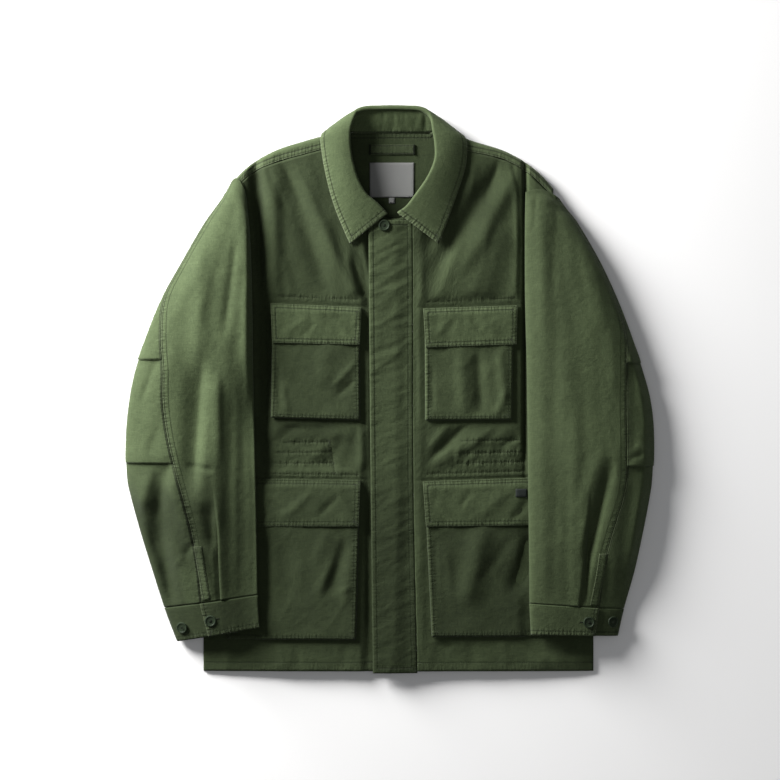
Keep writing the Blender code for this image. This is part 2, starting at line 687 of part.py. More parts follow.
# ---------------------------------------------------------------------------- collar: one row a section
# neck is the seam, roll the line where the collar turns over, edge the free edge of the leaf. The leaf bulges
# towards a point a share "reach" of the way from roll to edge, at height bulge_z and "swell" further out.
CollarRow = namedtuple(
    "CollarRow", "neck_x neck_y neck_z roll_x roll_y roll_z edge_x edge_y edge_z reach bulge_z swell"
)
COLLAR = [
    CollarRow(-12, 235, 17.2, -3.4, 240.0, 24.0, -54.3, 198.8, 20.2, 0.45, 27.5, 0.0),
    CollarRow(-26, 243, 17.2, -17.2, 254.5, 26.5, -63.0, 219.0, 19.4, 0.45, 30.5, 0.0),
    CollarRow(-45, 256, 18.0, -32.3, 267.5, 28.5, -72.5, 242.0, 19.0, 0.45, 32.5, 0.0),
    CollarRow(-59, 277, 17.9, -43.5, 287.0, 30.0, -81.0, 268.0, 18.7, 0.45, 34.0, 0.0),
    CollarRow(-68, 300, 17.6, -50.5, 310.0, 30.5, -88.0, 297.0, 18.3, 0.45, 34.5, 0.0),
    CollarRow(-75, 322, 17.5, -54.3, 334.0, 30.0, -93.0, 326.0, 18.1, 0.48, 34.0, 1.0),
    CollarRow(-76, 342, 17.6, -54.0, 356.0, 28.0, -94.0, 347.5, 17.8, 0.55, 30.0, 2.0),
    CollarRow(-71, 354.5, 13.0, -49.0, 373.0, 24.0, -84.5, 356.5, 9.0, 0.75, 20.0, 5.0),
    CollarRow(-62, 355.0, 6.0, -43.0, 383.5, 20.5, -71.0, 362.5, 3.6, 0.62, 8.0, 5.0),
    CollarRow(-48, 353.2, 1.9, -31.0, 387.8, 18.0, -50.0, 360.5, 1.3, 0.15, 2.5, 2.0),
    CollarRow(-22, 353.0, 1.6, -14.0, 388.6, 17.0, -22.0, 359.5, 1.3, -0.02, 1.6, 0.0),
    CollarRow(4, 353.0, 1.6, 4.0, 388.9, 17.0, 4.0, 359.0, 1.3, -0.04, 1.4, 0.0),
    CollarRow(28, 353.0, 1.6, 22.0, 388.5, 17.0, 28.0, 359.5, 1.3, -0.02, 1.6, 0.0),
    CollarRow(50, 353.2, 1.9, 39.5, 387.5, 18.0, 54.0, 360.5, 1.3, 0.15, 2.5, 2.0),
    CollarRow(65, 355.0, 6.0, 50.5, 382.8, 20.5, 76.5, 361.5, 3.6, 0.62, 8.0, 5.0),
    CollarRow(76, 354.5, 13.0, 57.0, 372.0, 24.0, 92.0, 354.5, 9.0, 0.75, 20.0, 5.0),
    CollarRow(83, 342, 17.8, 60.0, 354.0, 28.0, 104.0, 345.0, 17.9, 0.55, 30.0, 2.0),
    CollarRow(83, 326, 17.7, 63.0, 334.0, 30.0, 106.6, 328.0, 18.4, 0.48, 34.0, 1.0),
    CollarRow(78, 306, 17.8, 62.5, 313.5, 30.5, 104.0, 304.0, 18.8, 0.45, 34.5, 0.0),
    CollarRow(67, 280, 17.9, 52.5, 290.0, 30.0, 95.5, 275.5, 19.0, 0.45, 34.0, 0.0),
    CollarRow(50, 257, 19.7, 36.5, 267.0, 28.5, 86.0, 248.5, 19.6, 0.45, 33.0, 0.0),
    CollarRow(32, 241, 20.8, 23.7, 250.5, 27.5, 76.5, 222.0, 20.4, 0.45, 31.5, 0.0),
    CollarRow(19, 236, 20.9, 11.1, 241.4, 25.5, 67.3, 199.4, 21.0, 0.45, 29.0, 0.0),
]
COLLAR_CURVES = table_curves(COLLAR, None)
COLLAR_STEPS = np.linspace(0, len(COLLAR) - 1, 34)
ROLL_RADIUS = 2.9  # of the leaf's middle about the roll's axis
STAND_SHORT = 1.6  # from the roll's axis down to the stand's top edge


def collar_row(t):
    return CollarRow(*(COLLAR_CURVES[name](t) for name in CollarRow._fields))


def bend(first, pull, last, f):
    """A curve from first to last that leans towards pull."""
    return (1 - f) ** 2 * first + 2 * f * (1 - f) * pull + f * f * last


def collar_ends(t):
    row = collar_row(t)
    neck = np.array([row.neck_x, row.neck_y, row.neck_z])
    roll = np.array([row.roll_x, row.roll_y, row.roll_z])
    edge = np.array([row.edge_x, row.edge_y, row.edge_z])
    return row, neck, roll, edge


def stand_frame(t):
    """The top of the stand, the way it rises, the way from it to the leaf's side, and outward in plan."""
    row, neck, roll, edge = collar_ends(t)
    before, after = collar_ends(t - 0.2)[2], collar_ends(t + 0.2)[2]
    along = after - before
    outward = np.array([-along[1], along[0], 0.0])
    outward /= np.linalg.norm(outward)
    rise = roll - neck
    rise -= along * np.dot(rise, along) / np.dot(along, along)
    rise /= np.linalg.norm(rise)
    leaf_side = outward * rise[2] - np.array([0.0, 0.0, 1.0]) * np.dot(rise, outward)
    return roll - rise * ROLL_RADIUS, rise, leaf_side, outward


def collar_stand(finish):
    """From the neck seam up to just under the roll."""
    rows = []
    for t in COLLAR_STEPS:
        row, neck, roll, edge = collar_ends(t)
        top, rise, leaf_side, outward = stand_frame(t)
        top = top - rise * STAND_SHORT
        pull = mix(neck, top, 0.5) - leaf_side * 0.4
        rows.append([bend(neck, pull, top, f) for f in (0.0, 0.33, 0.67, 1.0)])
    return cloth("collar_stand", rows, CLOTH, finish)


def leaf_line(t, shares):
    """A short lip inside the stand, the roll about its top edge, then shares of the way to the free edge."""
    row, neck, roll, edge = collar_ends(t)
    top, rise, leaf_side, outward = stand_frame(t)
    line = [top - leaf_side * ROLL_RADIUS - rise * 1.0]
    for turn in (-60, -15, 25):
        angle = math.radians(turn)
        line.append(top + ROLL_RADIUS * (leaf_side * math.sin(angle) + rise * math.cos(angle)))
    start = line[-1]
    pull = mix(start, edge, row.reach) + outward * row.swell
    pull[2] = row.bulge_z
    return line + [bend(start, pull, edge, f) for f in shares]


def collar_leaf(finish):
    rows = [leaf_line(t, (0.16, 0.38, 0.66, 1.0)) for t in COLLAR_STEPS]
    return cloth("collar_leaf", rows, TURNED, finish)


# ---------------------------------------------------------------------------- pockets
# Corners are (x, y) from the top edge's low-x corner, clockwise as the wearer's front is seen
Pocket = namedtuple("Pocket", "name side flap bag")
POCKETS = [
    Pocket(
        "chest_pocket_right",
        RIGHT,
        [(-163.4, 117.9), (-38.1, 111.8), (-40.6, 60.5), (-161.2, 63.3)],
        [(-160.5, 104.0), (-41.4, 100.0), (-40.6, -42.6), (-162.7, -39.2)],
    ),
    Pocket(
        "chest_pocket_left",
        LEFT,
        [(46.5, 110.5), (176.3, 114.9), (174.8, 61.2), (49.5, 56.7)],
        [(48.8, 98.0), (170.3, 102.0), (168.1, -41.8), (49.5, -42.6)],
    ),
    Pocket(
        "lower_pocket_right",
        RIGHT,
        [(-226.0, -123.1), (-39.6, -125.7), (-42.0, -189.1), (-226.0, -189.1)],
        [(-223.5, -138.0), (-41.0, -140.0), (-46.5, -344.6), (-223.5, -343.9)],
    ),
    Pocket(
        "lower_pocket_left",
        LEFT,
        [(45.8, -127.2), (234.0, -121.0), (234.0, -187.1), (50.2, -189.1)],
        [(48.8, -141.0), (231.0, -137.0), (232.0, -340.0), (58.5, -340.4)],
    ),
]
BAG_PROUD = 3.2  # how far a bellows pocket stands off the front at its bottom edge
BAG_WALL = 2.2
FLAP_WALL = 1.7
GUSSET = 3.2


def quad_point(corners, u, v):
    """u from low x to high x, v from the top edge down."""
    a, b, c, d = (np.array(corner, float) for corner in corners)
    return mix(mix(a, b, u), mix(d, c, u), v)


def bag_lift(pocket, u, v):
    """Gap between front and bag: none where its three sewn edges lie down, most at the bottom."""
    x, y = quad_point(pocket.bag, u, v)
    wide = abs(pocket.bag[1][0] - pocket.bag[0][0])
    tall = abs(pocket.bag[0][1] - pocket.bag[3][1])
    near = min(u * wide / GUSSET, (1 - u) * wide / GUSSET, (1 - v) * tall / GUSSET, 1.0)
    under_sleeve = 1 - ease(abs(x), 174.0, 190.0)
    return BAG_PROUD * near * mix(0.25, 1.0, v) * mix(0.12, 1.0, under_sleeve)


def bag_height(pocket, u, v):
    x, y = quad_point(pocket.bag, u, v)
    return front_surface(pocket.side, x, y) + HALF + LAY + BAG_WALL / 2 + bag_lift(pocket, u, v)


def pocket_bag(pocket, finish):
    wide = abs(pocket.bag[1][0] - pocket.bag[0][0])
    tall = abs(pocket.bag[0][1] - pocket.bag[3][1])
    across = GUSSET / wide
    down = GUSSET / tall
    rows = []
    for v in [0.0, 0.2, 0.4, 0.6, 0.8, 1 - down, 1.0]:
        line = []
        for u in [0.0, across, 0.2, 0.4, 0.6, 0.8, 1 - across, 1.0]:
            x, y = quad_point(pocket.bag, u, v)
            line.append((x, y, bag_height(pocket, u, v)))
        rows.append(line[::-1])
    return cloth(f"{pocket.name}_bag", rows, BAG_WALL, finish)


def flap_height(pocket, x, y):
    """The flap lies on the front at its sewn edge and on the bag below it."""
    share = (x - pocket.bag[0][0]) / (pocket.bag[1][0] - pocket.bag[0][0])
    bag_top = mix(pocket.bag[0][1], pocket.bag[1][1], share)
    down = (bag_top - y) / abs(pocket.bag[0][1] - pocket.bag[3][1])
    under_sleeve = 1 - ease(abs(x), 174.0, 190.0)
    on_bag = 1 - ease(y, bag_top + 3.0, bag_top + 14.0)
    lift = BAG_WALL + LAY + BAG_PROUD * mix(0.25, 1.0, max(down, 0.0)) * mix(0.12, 1.0, under_sleeve)
    return front_surface(pocket.side, x, y) + HALF + LAY + FLAP_WALL / 2 + on_bag * lift


def pocket_flap(pocket, finish):
    rows = []
    for v in (0.0, 0.12, 0.26, 0.45, 0.7, 1.0):
        line = []
        for u in (0.0, 0.125, 0.25, 0.375, 0.5, 0.625, 0.75, 0.875, 1.0):
            x, y = quad_point(pocket.flap, u, v)
            line.append((x, y, flap_height(pocket, x, y)))
        rows.append(line[::-1])
    return cloth(f"{pocket.name}_flap", rows, FLAP_WALL, finish)


TAB_WALL = 1.0


def flap_tab(finish):
    """The small plain tab sewn to the left lower flap."""
    pocket = POCKETS[3]
    rows = []
    for y in (-137.2, -148.6):
        stations = (173.3, 178.5, 184.0, 189.2)
        line = [(x, y, flap_height(pocket, x, y) + FLAP_WALL / 2 + LAY + TAB_WALL / 2) for x in stations]
        rows.append(line[::-1])
    return cloth("flap_tab", rows, TAB_WALL, finish)


# ---------------------------------------------------------------------------- inside the neck
def flat_patch(name, x0, x1, y0, y1, thick, finish, arch=0.0):
    """A patch on the yoke's inside, lifted by arch at its middle."""
    rows = []
    for y in (y1, y0):
        line = []
        for n in range(7):
            share = n / 6
            lift = arch * math.sin(math.pi * share) ** 0.5
            line.append((mix(x0, x1, share), y, CLOTH + SEAM + thick / 2 + lift))
        rows.append(line[::-1])
    return cloth(name, rows, thick, finish)


# ---------------------------------------------------------------------------- buttons
BUTTON_PROFILE = [
    (0.0, 0.0),
    (6.6, 0.0),
    (7.8, 0.6),
    (8.0, 1.5),
    (7.4, 2.6),
    (6.3, 2.8),
    (5.4, 2.0),
    (0.0, 1.7),
]

# Each button's centre. lower ones stand on the part of the cuff that runs on under its overlap
CuffButton = namedtuple("CuffButton", "name side lower x y")
CUFF_BUTTONS = [
    CuffButton("cuff_button_right_outer", RIGHT, True, -284.2, -327.4),
    CuffButton("cuff_button_right_inner", RIGHT, False, -245.0, -317.5),
    CuffButton("cuff_button_left_inner", LEFT, False, 273.0, -319.5),
    CuffButton("cuff_button_left_outer", LEFT, True, 306.2, -319.5),
]


def cuff_seat(button):
    """The point of the cuff under a button and the way its cloth faces, found by closing in on the centre."""
    t, run = 14.5, 2.15 if button.lower else 0.12
    for _ in range(30):
        here = cuff_point(button.side, t, run)
        along = (cuff_point(button.side, t + 0.01, run) - here) / 0.01
        across = (cuff_point(button.side, t, run + 0.001) - here) / 0.001
        miss = np.array([button.x, button.y]) - here[:2]
        step = np.linalg.solve(np.array([along[:2], across[:2]]).T, miss)
        t += 0.6 * step[0]
        run += 0.6 * step[1]
    reach = BUTTON_ACROSS / 2
    wide = reach / np.linalg.norm(across)
    tall = reach / np.linalg.norm(along)
    cross = cuff_point(button.side, t, run + wide) - cuff_point(button.side, t, run - wide)
    down = cuff_point(button.side, t + tall, run) - cuff_point(button.side, t - tall, run)
    normal = np.cross(cross, down)
    normal *= 1 if normal[2] > 0 else -1
    normal /= np.linalg.norm(normal)
    corners = [cuff_point(button.side, t + i * tall, run + j * wide) for i in (-1, 0, 1) for j in (-1, 0, 1)]
    proud = max(float(np.dot(corner - here, normal)) for corner in corners)
    return here + normal * (TURNED / 2 + proud + SEAM + 0.1), normal


# ---------------------------------------------------------------------------- the jacket
for existing in list(bpy.data.objects):
    bpy.data.objects.remove(existing, do_unlink=True)

jacket = bpy.data.objects.new("field_jacket", None)
bpy.context.scene.collection.objects.link(jacket)

twill = material("olive_twill", OLIVE, 0.9)
twill_inside = material("olive_twill_inside", OLIVE_INSIDE, 0.9)
label_cloth = material("grey_label", LABEL_GREY, 0.8)
tab_cloth = material("dark_tab", TAB_GREY, 0.7)
horn = material("dark_green_button", BUTTON_GREEN, 0.35)

back(twill_inside)
back_yoke(twill)
for side in (RIGHT, LEFT):
    front(side, twill)
    sleeve_upper(side, twill)
    sleeve_under(side, twill)
    sleeve_placket(side, twill)
    cuff(side, twill)
fly(twill)
collar_stand(twill)
collar_leaf(twill)
for pocket in POCKETS:
    pocket_bag(pocket, twill)
    pocket_flap(pocket, twill)
flap_tab(tab_cloth)
flat_patch("hanger_loop", -28.2, 35.1, 323.2, 337.0, 1.2, twill_inside, arch=1.6)
flat_patch("neck_label", -27.5, 34.1, 264.1, 312.2, 1.0, label_cloth)
flat_patch("size_tab", -0.7, 7.6, 255.8, 263.7, 1.0, label_cloth)
for button in CUFF_BUTTONS:
    place, normal = cuff_seat(button)
    turned(button.name, BUTTON_PROFILE, 16, place, normal, horn)
neck_button = np.array([-7.2, 224.6, fly_height(-7.2, 224.6) + TURNED / 2 + LAY])
turned("neck_button", BUTTON_PROFILE, 16, neck_button, (0.0, 0.0, 1.0), horn)
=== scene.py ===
import math
from collections import namedtuple
from functools import partial

import bpy
import numpy as np
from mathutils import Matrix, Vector


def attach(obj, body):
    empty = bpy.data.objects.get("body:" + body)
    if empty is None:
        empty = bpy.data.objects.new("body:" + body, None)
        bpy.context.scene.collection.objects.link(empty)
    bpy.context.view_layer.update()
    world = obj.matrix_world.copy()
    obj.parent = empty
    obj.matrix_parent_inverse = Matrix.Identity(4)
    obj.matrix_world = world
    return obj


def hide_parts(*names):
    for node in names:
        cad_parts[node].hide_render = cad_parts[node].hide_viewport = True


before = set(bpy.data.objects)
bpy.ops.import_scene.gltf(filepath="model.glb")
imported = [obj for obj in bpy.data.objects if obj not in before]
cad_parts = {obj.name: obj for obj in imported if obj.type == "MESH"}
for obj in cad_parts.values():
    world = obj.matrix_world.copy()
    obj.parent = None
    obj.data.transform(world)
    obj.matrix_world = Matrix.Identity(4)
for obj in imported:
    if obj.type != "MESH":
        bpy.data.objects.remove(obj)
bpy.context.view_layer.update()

# The jacket lies on its back. X runs across it, Y from the hem to the collar, Z up. "Right" and "left" are
# the wearer's, so the right pieces are at -X. Tables are in millimetres, and MM turns them into metres.
MM = 0.001

CLOTH = 1.5  # wall of one layer of twill
TURNED = 2.0  # wall of a piece that is faced or turned in
SEAM = 0.35  # gap between two pieces that are sewn together
LAY = 0.55  # gap under a piece that lies on a panel
HALF = CLOTH / 2

HEM_Y = -388.6
YOKE_Y = 230.0
UNDERARM_Y = 60.0
UP = np.array([0.0, 0.0, 1.0])
RIGHT, LEFT = -1, 1
SIDE_NAMES = {RIGHT: "right", LEFT: "left"}


# ---------------------------------------------------------------------------- curves and noise
def curve(stations, values):
    """A smooth curve through values at rising stations, held level past both ends."""
    stations = np.asarray(stations, float)
    values = np.asarray(values, float)
    slopes = np.gradient(values, stations)

    def at(station):
        station = np.clip(station, stations[0], stations[-1])
        i = np.clip(np.searchsorted(stations, station) - 1, 0, len(stations) - 2)
        span = stations[i + 1] - stations[i]
        f = (station - stations[i]) / span
        return (
            (2 * f**3 - 3 * f**2 + 1) * values[i]
            + (f**3 - 2 * f**2 + f) * span * slopes[i]
            + (3 * f**2 - 2 * f**3) * values[i + 1]
            + (f**3 - f**2) * span * slopes[i + 1]
        )

    return at


def table_curves(rows, key):
    """One curve for each column of a table, over the column named key or, with None, over the row number."""
    stations = [n if key is None else getattr(row, key) for n, row in enumerate(rows)]
    return {name: curve(stations, [getattr(row, name) for row in rows]) for name in rows[0]._fields}


def table(kind, *rows):
    return [kind(*row) for row in rows]


def row_at(kind, curves, t):
    """A table's row, read off its curves at row number t."""
    return kind(*(curves[name](t) for name in kind._fields))


def ease(value, start, end):
    """0 before start and 1 past end, smoothly."""
    f = np.clip((np.asarray(value, float) - start) / (end - start), 0.0, 1.0)
    return f * f * (3 - 2 * f)


def plan(points):
    return points[..., 0], points[..., 1]


def hump(value, middle, width):
    return np.exp(-(((value - middle) / width) ** 2))


def mix(a, b, f):
    return a + (b - a) * f


def between(value, start, full, fading, end):
    """1 from full to fading, and down to 0 at start and end, smoothly."""
    return ease(value, start, full) * (1 - ease(value, fading, end))


def grid_at(x, y, z):
    """A grid of points."""
    return np.stack(np.broadcast_arrays(x, y, z), -1)


def unit(v):
    return v / np.linalg.norm(v, axis=-1, keepdims=True)


def dot(a, b):
    return (a * b).sum(-1, keepdims=True)


def path_point(points, f):
    """Points at shares f of the way along a polyline."""
    points = np.asarray(points, float)
    steps = np.sqrt((np.diff(points, axis=0) ** 2).sum(1))
    run = np.concatenate([[0.0], np.cumsum(steps)]) / steps.sum()
    return np.stack([np.interp(f, run, points[:, n]) for n in range(points.shape[1])], -1)


def quad_point(corners, u, v):
    """Points inside four corners: u runs from the first to the second, and v from those to the other two."""
    a, b, c, d = (np.array(corner, float) for corner in corners)
    u, v = np.asarray(u)[..., None], np.asarray(v)[..., None]
    return mix(mix(a, b, u), mix(d, c, u), v)


def lattice(i, j, seed):
    """A repeatable number from -1 to 1 for each whole-number place."""
    n = (i.astype(np.int64) * 374761393 + j.astype(np.int64) * 668265263 + seed * 144269504) & 0xFFFFFFFF
    n = ((n ^ (n >> 13)) * 1274126177) & 0xFFFFFFFF
    return (n ^ (n >> 16)) / 0x7FFFFFFF - 1.0


def wander(x, y, size, seed):
    """Smooth noise from about -1 to 1, with bumps of this size."""
    turn = 0.6 + 1.7 * seed
    u = (x * math.cos(turn) - y * math.sin(turn)) / size + 500
    v = (x * math.sin(turn) + y * math.cos(turn)) / size + 500
    i, j = np.floor(u), np.floor(v)
    f, g = u - i, v - j
    f = f**3 * (f * (6 * f - 15) + 10)
    g = g**3 * (g * (6 * g - 15) + 10)
    low = mix(lattice(i, j, seed), lattice(i + 1, j, seed), f)
    high = mix(lattice(i, j + 1, seed), lattice(i + 1, j + 1, seed), f)
    return mix(low, high, g)


def ridges(x, y, size, seed):
    """Thin crooked ridges from 0 to 1, as in crumpled cloth."""
    return (1 - np.abs(wander(x, y, size, seed))) ** 4


# ---------------------------------------------------------------------------- folds
# A fold is a soft ridge (rise above 0) or trough (below 0) along a line, fading at both ends. skew above 0
# makes its right-hand side, seen along the line, steeper; bow bends the line sideways at its middle.
Fold = namedtuple("Fold", "x0 y0 x1 y1 rise width skew bow", defaults=(0.0, 0.0))


# Fine folds and rows of stitching are placed by the photograph's pixels, across and down from its corner.
# Their widths and heights are in millimetres.
PIXEL = 1.3755  # millimetres that a pixel stands for
MIDDLE_PIXEL = (389.5, 389.0)
PHOTO_PIXELS = 780


def place(across, down):
    return (across - MIDDLE_PIXEL[0]) * PIXEL, (MIDDLE_PIXEL[1] - down) * PIXEL


def folds(*rows):
    return table(Fold, *rows)


def creases(*rows):
    """Folds that are placed by pixels."""
    return [Fold(*place(*row[:2]), *place(*row[2:4]), *row[4:]) for row in rows]


def beside(line, x, y):
    """Distance along a line of a table, distance to its side, and its length."""
    dx, dy = line.x1 - line.x0, line.y1 - line.y0
    length = math.hypot(dx, dy)
    along = ((x - line.x0) * dx + (y - line.y0) * dy) / length
    across = ((x - line.x0) * dy - (y - line.y0) * dx) / length
    return along, across, length


def fold_height(lines, x, y):
    total = np.zeros(np.broadcast(x, y).shape)
    for fold in lines:
        along, across, length = beside(fold, x, y)
        along = along / length
        across = across - fold.bow * (1 - (2 * np.clip(along, 0, 1) - 1) ** 2)
        width = fold.width * (1 - fold.skew * np.sign(across))
        fade = between(along, -0.12, 0.25, 0.75, 1.12)
        total += fold.rise * fade * np.exp(-((across / width) ** 2))
    return total


FRONT_FOLDS = folds(
    (-163, 300, -160, 130, 3.9, 11), (-144, 306, -84, 126, -4.5, 13), (-122, 312, -66, 150, 4.5, 12),
    (-60, 205, -36, 60, 3.6, 9), (84, 298, 50, 180, -5.1, 13), (151, 309, 60, 162, -5.6, 12),
    (172, 299, 100, 164, 3.2, 11), (150, 226, 116, 118, 4.4, 22), (112, 190, 76, 120, 1.6, 12),
    (136, -58, 62, -104, 3, 10), (-62, -54, -112, -98, 2, 11), (40, 60, 42, -60, -2.7, 7),
    (-36, 40, -38, -330, 2.7, 7),
)

SLEEVE_FOLDS = {
    RIGHT: folds(
        (-209, 212, -227, 74, -1.8, 8), (-258, 200, -262, -10, 3.1, 13),
        (-258, 44, -270, -140, -10.5, 14, -0.3), (-322, -95, -304, -275, -5.3, 12),
        (-300, -110, -276, -205, 3.4, 10), (-251, -158, -245, -215, -3.4, 8),
        (-212, 30, -208, -260, 2.8, 12),
    ),
    LEFT: folds(
        (206, 250, 214, 30, 1.2, 10), (232, 255, 262, 40, -1.2, 12), (250, 235, 300, 60, 1.2, 12),
        (330, 30, 336, -80, -1.8, 10), (242, 60, 252, -160, 1.8, 14),
        (302, -104, 266, -238, -5.6, 7.5), (316, -120, 300, -260, 1.2, 10),
    ),
}


# ---------------------------------------------------------------------------- sleeves: one row a section
# out and in are the outer and inner edges of the laid sleeve. seam, pleat and join are shares of the way from
# the inner edge to the outer: the rear seam on the upper layer, the crisp pleat above the cuff, and the
# armhole's hidden line on the under layer. crown is how far the upper layer stands above the edges, roll the
# radius of the inner edge, and bow how far the section is bent towards the collar.
Section = namedtuple("Section", "out_x out_y in_x in_y seam pleat join crown roll bow")

SLEEVE = {
    RIGHT: table(Section,
        (-222, 277, -199, 272, 0.98, 0.36, 0.75, 6, 1.3, 15),
        (-227.5, 268.5, -197, 260, 0.98, 0.36, 0.68, 8.5, 2.2, 9),
        (-235, 257, -195.5, 246, 0.98, 0.36, 0.6, 10, 3.4, 5),
        (-256.5, 227, -192.6, 219, 0.98, 0.36, 0.5, 12.5, 5, 1.5),
        (-285.4, 177.4, -190.5, 177.4, 0.98, 0.36, 0.4, 15, 6, 0),
        (-312.9, 127.9, -189.1, 127.9, 0.97, 0.36, 0.4, 17, 6.5, 0),
        (-333.6, 78.4, -188.2, 78.4, 0.87, 0.36, 0.4, 18, 7, 0),
        (-350.1, 28.9, -187.8, 28.9, 0.765, 0.36, 0.4, 18, 7, 0),
        (-359.7, -20.6, -186.9, -20.6, 0.72, 0.35, 0.4, 17.5, 7, 0),
        (-363.8, -70.2, -185.6, -70.2, 0.665, 0.34, 0.4, 17, 7, 0),
        (-362.4, -119.7, -184.3, -119.7, 0.605, 0.33, 0.4, 16, 7, 0),
        (-355, -155, -183.6, -152, 0.575, 0.325, 0.4, 15, 7, 0),
        (-341.8, -202.2, -182.8, -194, 0.555, 0.33, 0.4, 14, 7, 0),
        (-326, -253, -181.9, -240, 0.56, 0.36, 0.4, 12.5, 7, 0),
        (-310.6, -300.6, -181.2, -282.3, 0.595, 0.39, 0.4, 10.5, 6.5, 0),
        (-293, -347, -178.6, -327.4, 0.6, 0.42, 0.4, 9.5, 6.5, 0),
    ),
    LEFT: table(Section,
        (234.5, 262, 187.6, 270.5, 0.98, 0.4, 0.93, 6, 1.3, 7),
        (240, 254, 187.2, 261, 0.98, 0.4, 0.8, 8.5, 2.2, 4.5),
        (247.5, 244, 186.9, 249, 0.98, 0.4, 0.66, 10, 3.4, 2.5),
        (260.7, 227, 186.5, 226, 0.98, 0.4, 0.5, 12.5, 5, 0.8),
        (289.5, 177.4, 186.4, 177.4, 0.98, 0.4, 0.4, 15, 6, 0),
        (312.9, 127.9, 186.7, 127.9, 0.98, 0.4, 0.4, 17, 6.5, 0),
        (332.2, 78.4, 187.8, 78.4, 0.945, 0.4, 0.4, 18, 7, 0),
        (348.7, 28.9, 189.1, 28.9, 0.855, 0.42, 0.4, 18, 7, 0),
        (361.1, -20.6, 189.8, -20.6, 0.79, 0.45, 0.4, 17.5, 7, 0),
        (365.2, -70.2, 190.2, -70.2, 0.775, 0.47, 0.4, 17, 7, 0),
        (362.9, -119.7, 190.5, -119.7, 0.782, 0.485, 0.4, 16, 7, 0),
        (358.3, -152.7, 190.9, -152.7, 0.77, 0.495, 0.4, 15, 7, 0),
        (348.7, -202.2, 191.6, -205, 0.715, 0.5, 0.4, 14, 7, 0),
        (337.7, -251.7, 192.2, -252, 0.69, 0.51, 0.4, 12.5, 7, 0),
        (323.4, -302.3, 192.6, -293.7, 0.72, 0.52, 0.4, 10.5, 6.5, 0),
        (314.9, -339.5, 194.6, -336.5, 0.76, 0.53, 0.4, 9.5, 6.5, 0),
    ),
}
SLEEVE_CURVES = {side: table_curves(rows, None) for side, rows in SLEEVE.items()}
CUFF_SEAM, CUFF_END = 14.0, 15.0  # row numbers of the table
OUTER_ROLL = 7.0
OUTLINE_INSET = 1.3  # from the outline in the table in to the middle of the cloth
STEP_RUN = 13.0  # width of the step where a sleeve comes down off the body's side
# Row number of each elbow tuck, and how far the cloth above it stands over the cloth below
TUCK_ROWS = {RIGHT: (6.75, 9.60), LEFT: (6.85, 9.68)}
TUCK_STEP = 1.7
WRIST_BULGE = {RIGHT: 4.0, LEFT: 1.5}  # how far the forearm stands up along its middle
SHOULDER_BULGE = {RIGHT: 5.5, LEFT: 1.2}  # and the upper arm beside the body
SHOULDER_PLACE = {RIGHT: 0.13, LEFT: 0.20}  # share of the way across where it does
# How far the outer half stands up, and the rows where that starts and ends
OUTER_BULGE = {RIGHT: (5.0, 9.6, 11.0, 10.9, 12.2), LEFT: (6.5, 1.8, 4.5, 12.4, 13.9)}
LEAN = {RIGHT: 1.0, LEFT: 0.0}  # share of the forearm's crown that is missing beside its inner edge
TUCK_OUT = 0.30  # share of the step that also shows in the sleeve's outline
CUFF_PLEAT_STEP = 1.7
PLEAT_EDGE = 0.8  # half the width of the pleat's step

# ---------------------------------------------------------------------------- body
SideRow = namedtuple("SideRow", "y right left")
BODY_SIDES = table(SideRow,
    (HEM_Y, -256.5, 281.3), (-345, -256.5, 281.3), (-200, -254, 275), (-60, -251, 261),
    (UNDERARM_Y, -249, 248),
)
SIDE_CURVES = table_curves(BODY_SIDES, "y")

# edge is the height of the fronts at the side seam or armhole, and crown what the middle rises above it
RiseRow = namedtuple("RiseRow", "y edge crown")
BODY_RISE = table(RiseRow,
    (HEM_Y, 2.8, 7.5), (-250, 2.8, 8), (-100, 2.8, 9), (UNDERARM_Y, 3, 10), (150, 6, 8.5),
    (230, 10.5, 5.5), (300, 12, 3.5), (350, 12.5, 3),
)
RISE_CURVES = table_curves(BODY_RISE, "y")

# How far the left front stands up over the right, the right one drops under the fly, and the left one is
# pressed down under the fly's sewn side, each with the X where that changes
LAP_RISE, LAP_RUN = 2.6, (25.0, 90.0)
UNDERLAP_DROP, UNDERLAP_RUN = 3.2, (-42.0, -29.0)
FLY_SINK, FLY_RUN = 2.5, (6.0, 27.0)
# Where pockets and sleeves lie on the fronts, the fronts are pressed smooth
POCKET_STACK = 6.9  # from a front's upper face to that of the pocket flap on it
Pressed = namedtuple("Pressed", "x0 x1 y0 y1")
PRESSED = table(Pressed,
    (-165, -36, -45, 122), (45, 178, -45, 119), (-260, -38, -347, -116), (45, 285, -343, -115),
    (-300, -184, -345, 300), (182, 300, -345, 300),
)


def armhole_x(side, y):
    """The hidden armhole line, where the sleeve's under layers meet at this height."""
    rows = SLEEVE[side][::-1]
    heights = [mix(row.in_y, row.out_y, row.join) for row in rows]
    return np.interp(y, heights, [mix(row.in_x, row.out_x, row.join) for row in rows])


def side_x(side, y):
    """The side seam below the underarm and the armhole above it."""
    seam = SIDE_CURVES["right" if side == RIGHT else "left"](y)
    return np.where(np.asarray(y) > UNDERARM_Y, armhole_x(side, y), seam)


def front_height(x, y):
    """Height of the middle of the front's cloth, without folds."""
    low, high = side_x(RIGHT, y), side_x(LEFT, y)
    across = np.minimum(np.abs(2 * (x - low) / (high - low) - 1), 1.0)
    return RISE_CURVES["edge"](y) + RISE_CURVES["crown"](y) * (1 - across**3)


def folds_free(x, y, soft=16.0):
    """1 where the front's folds are at full height and 0 where something lies on it."""
    free = 1.0
    for patch in PRESSED:
        outside = np.maximum(np.maximum(patch.x0 - x, x - patch.x1), np.maximum(patch.y0 - y, y - patch.y1))
        free = free * ease(outside, 0.0, soft)
    return free


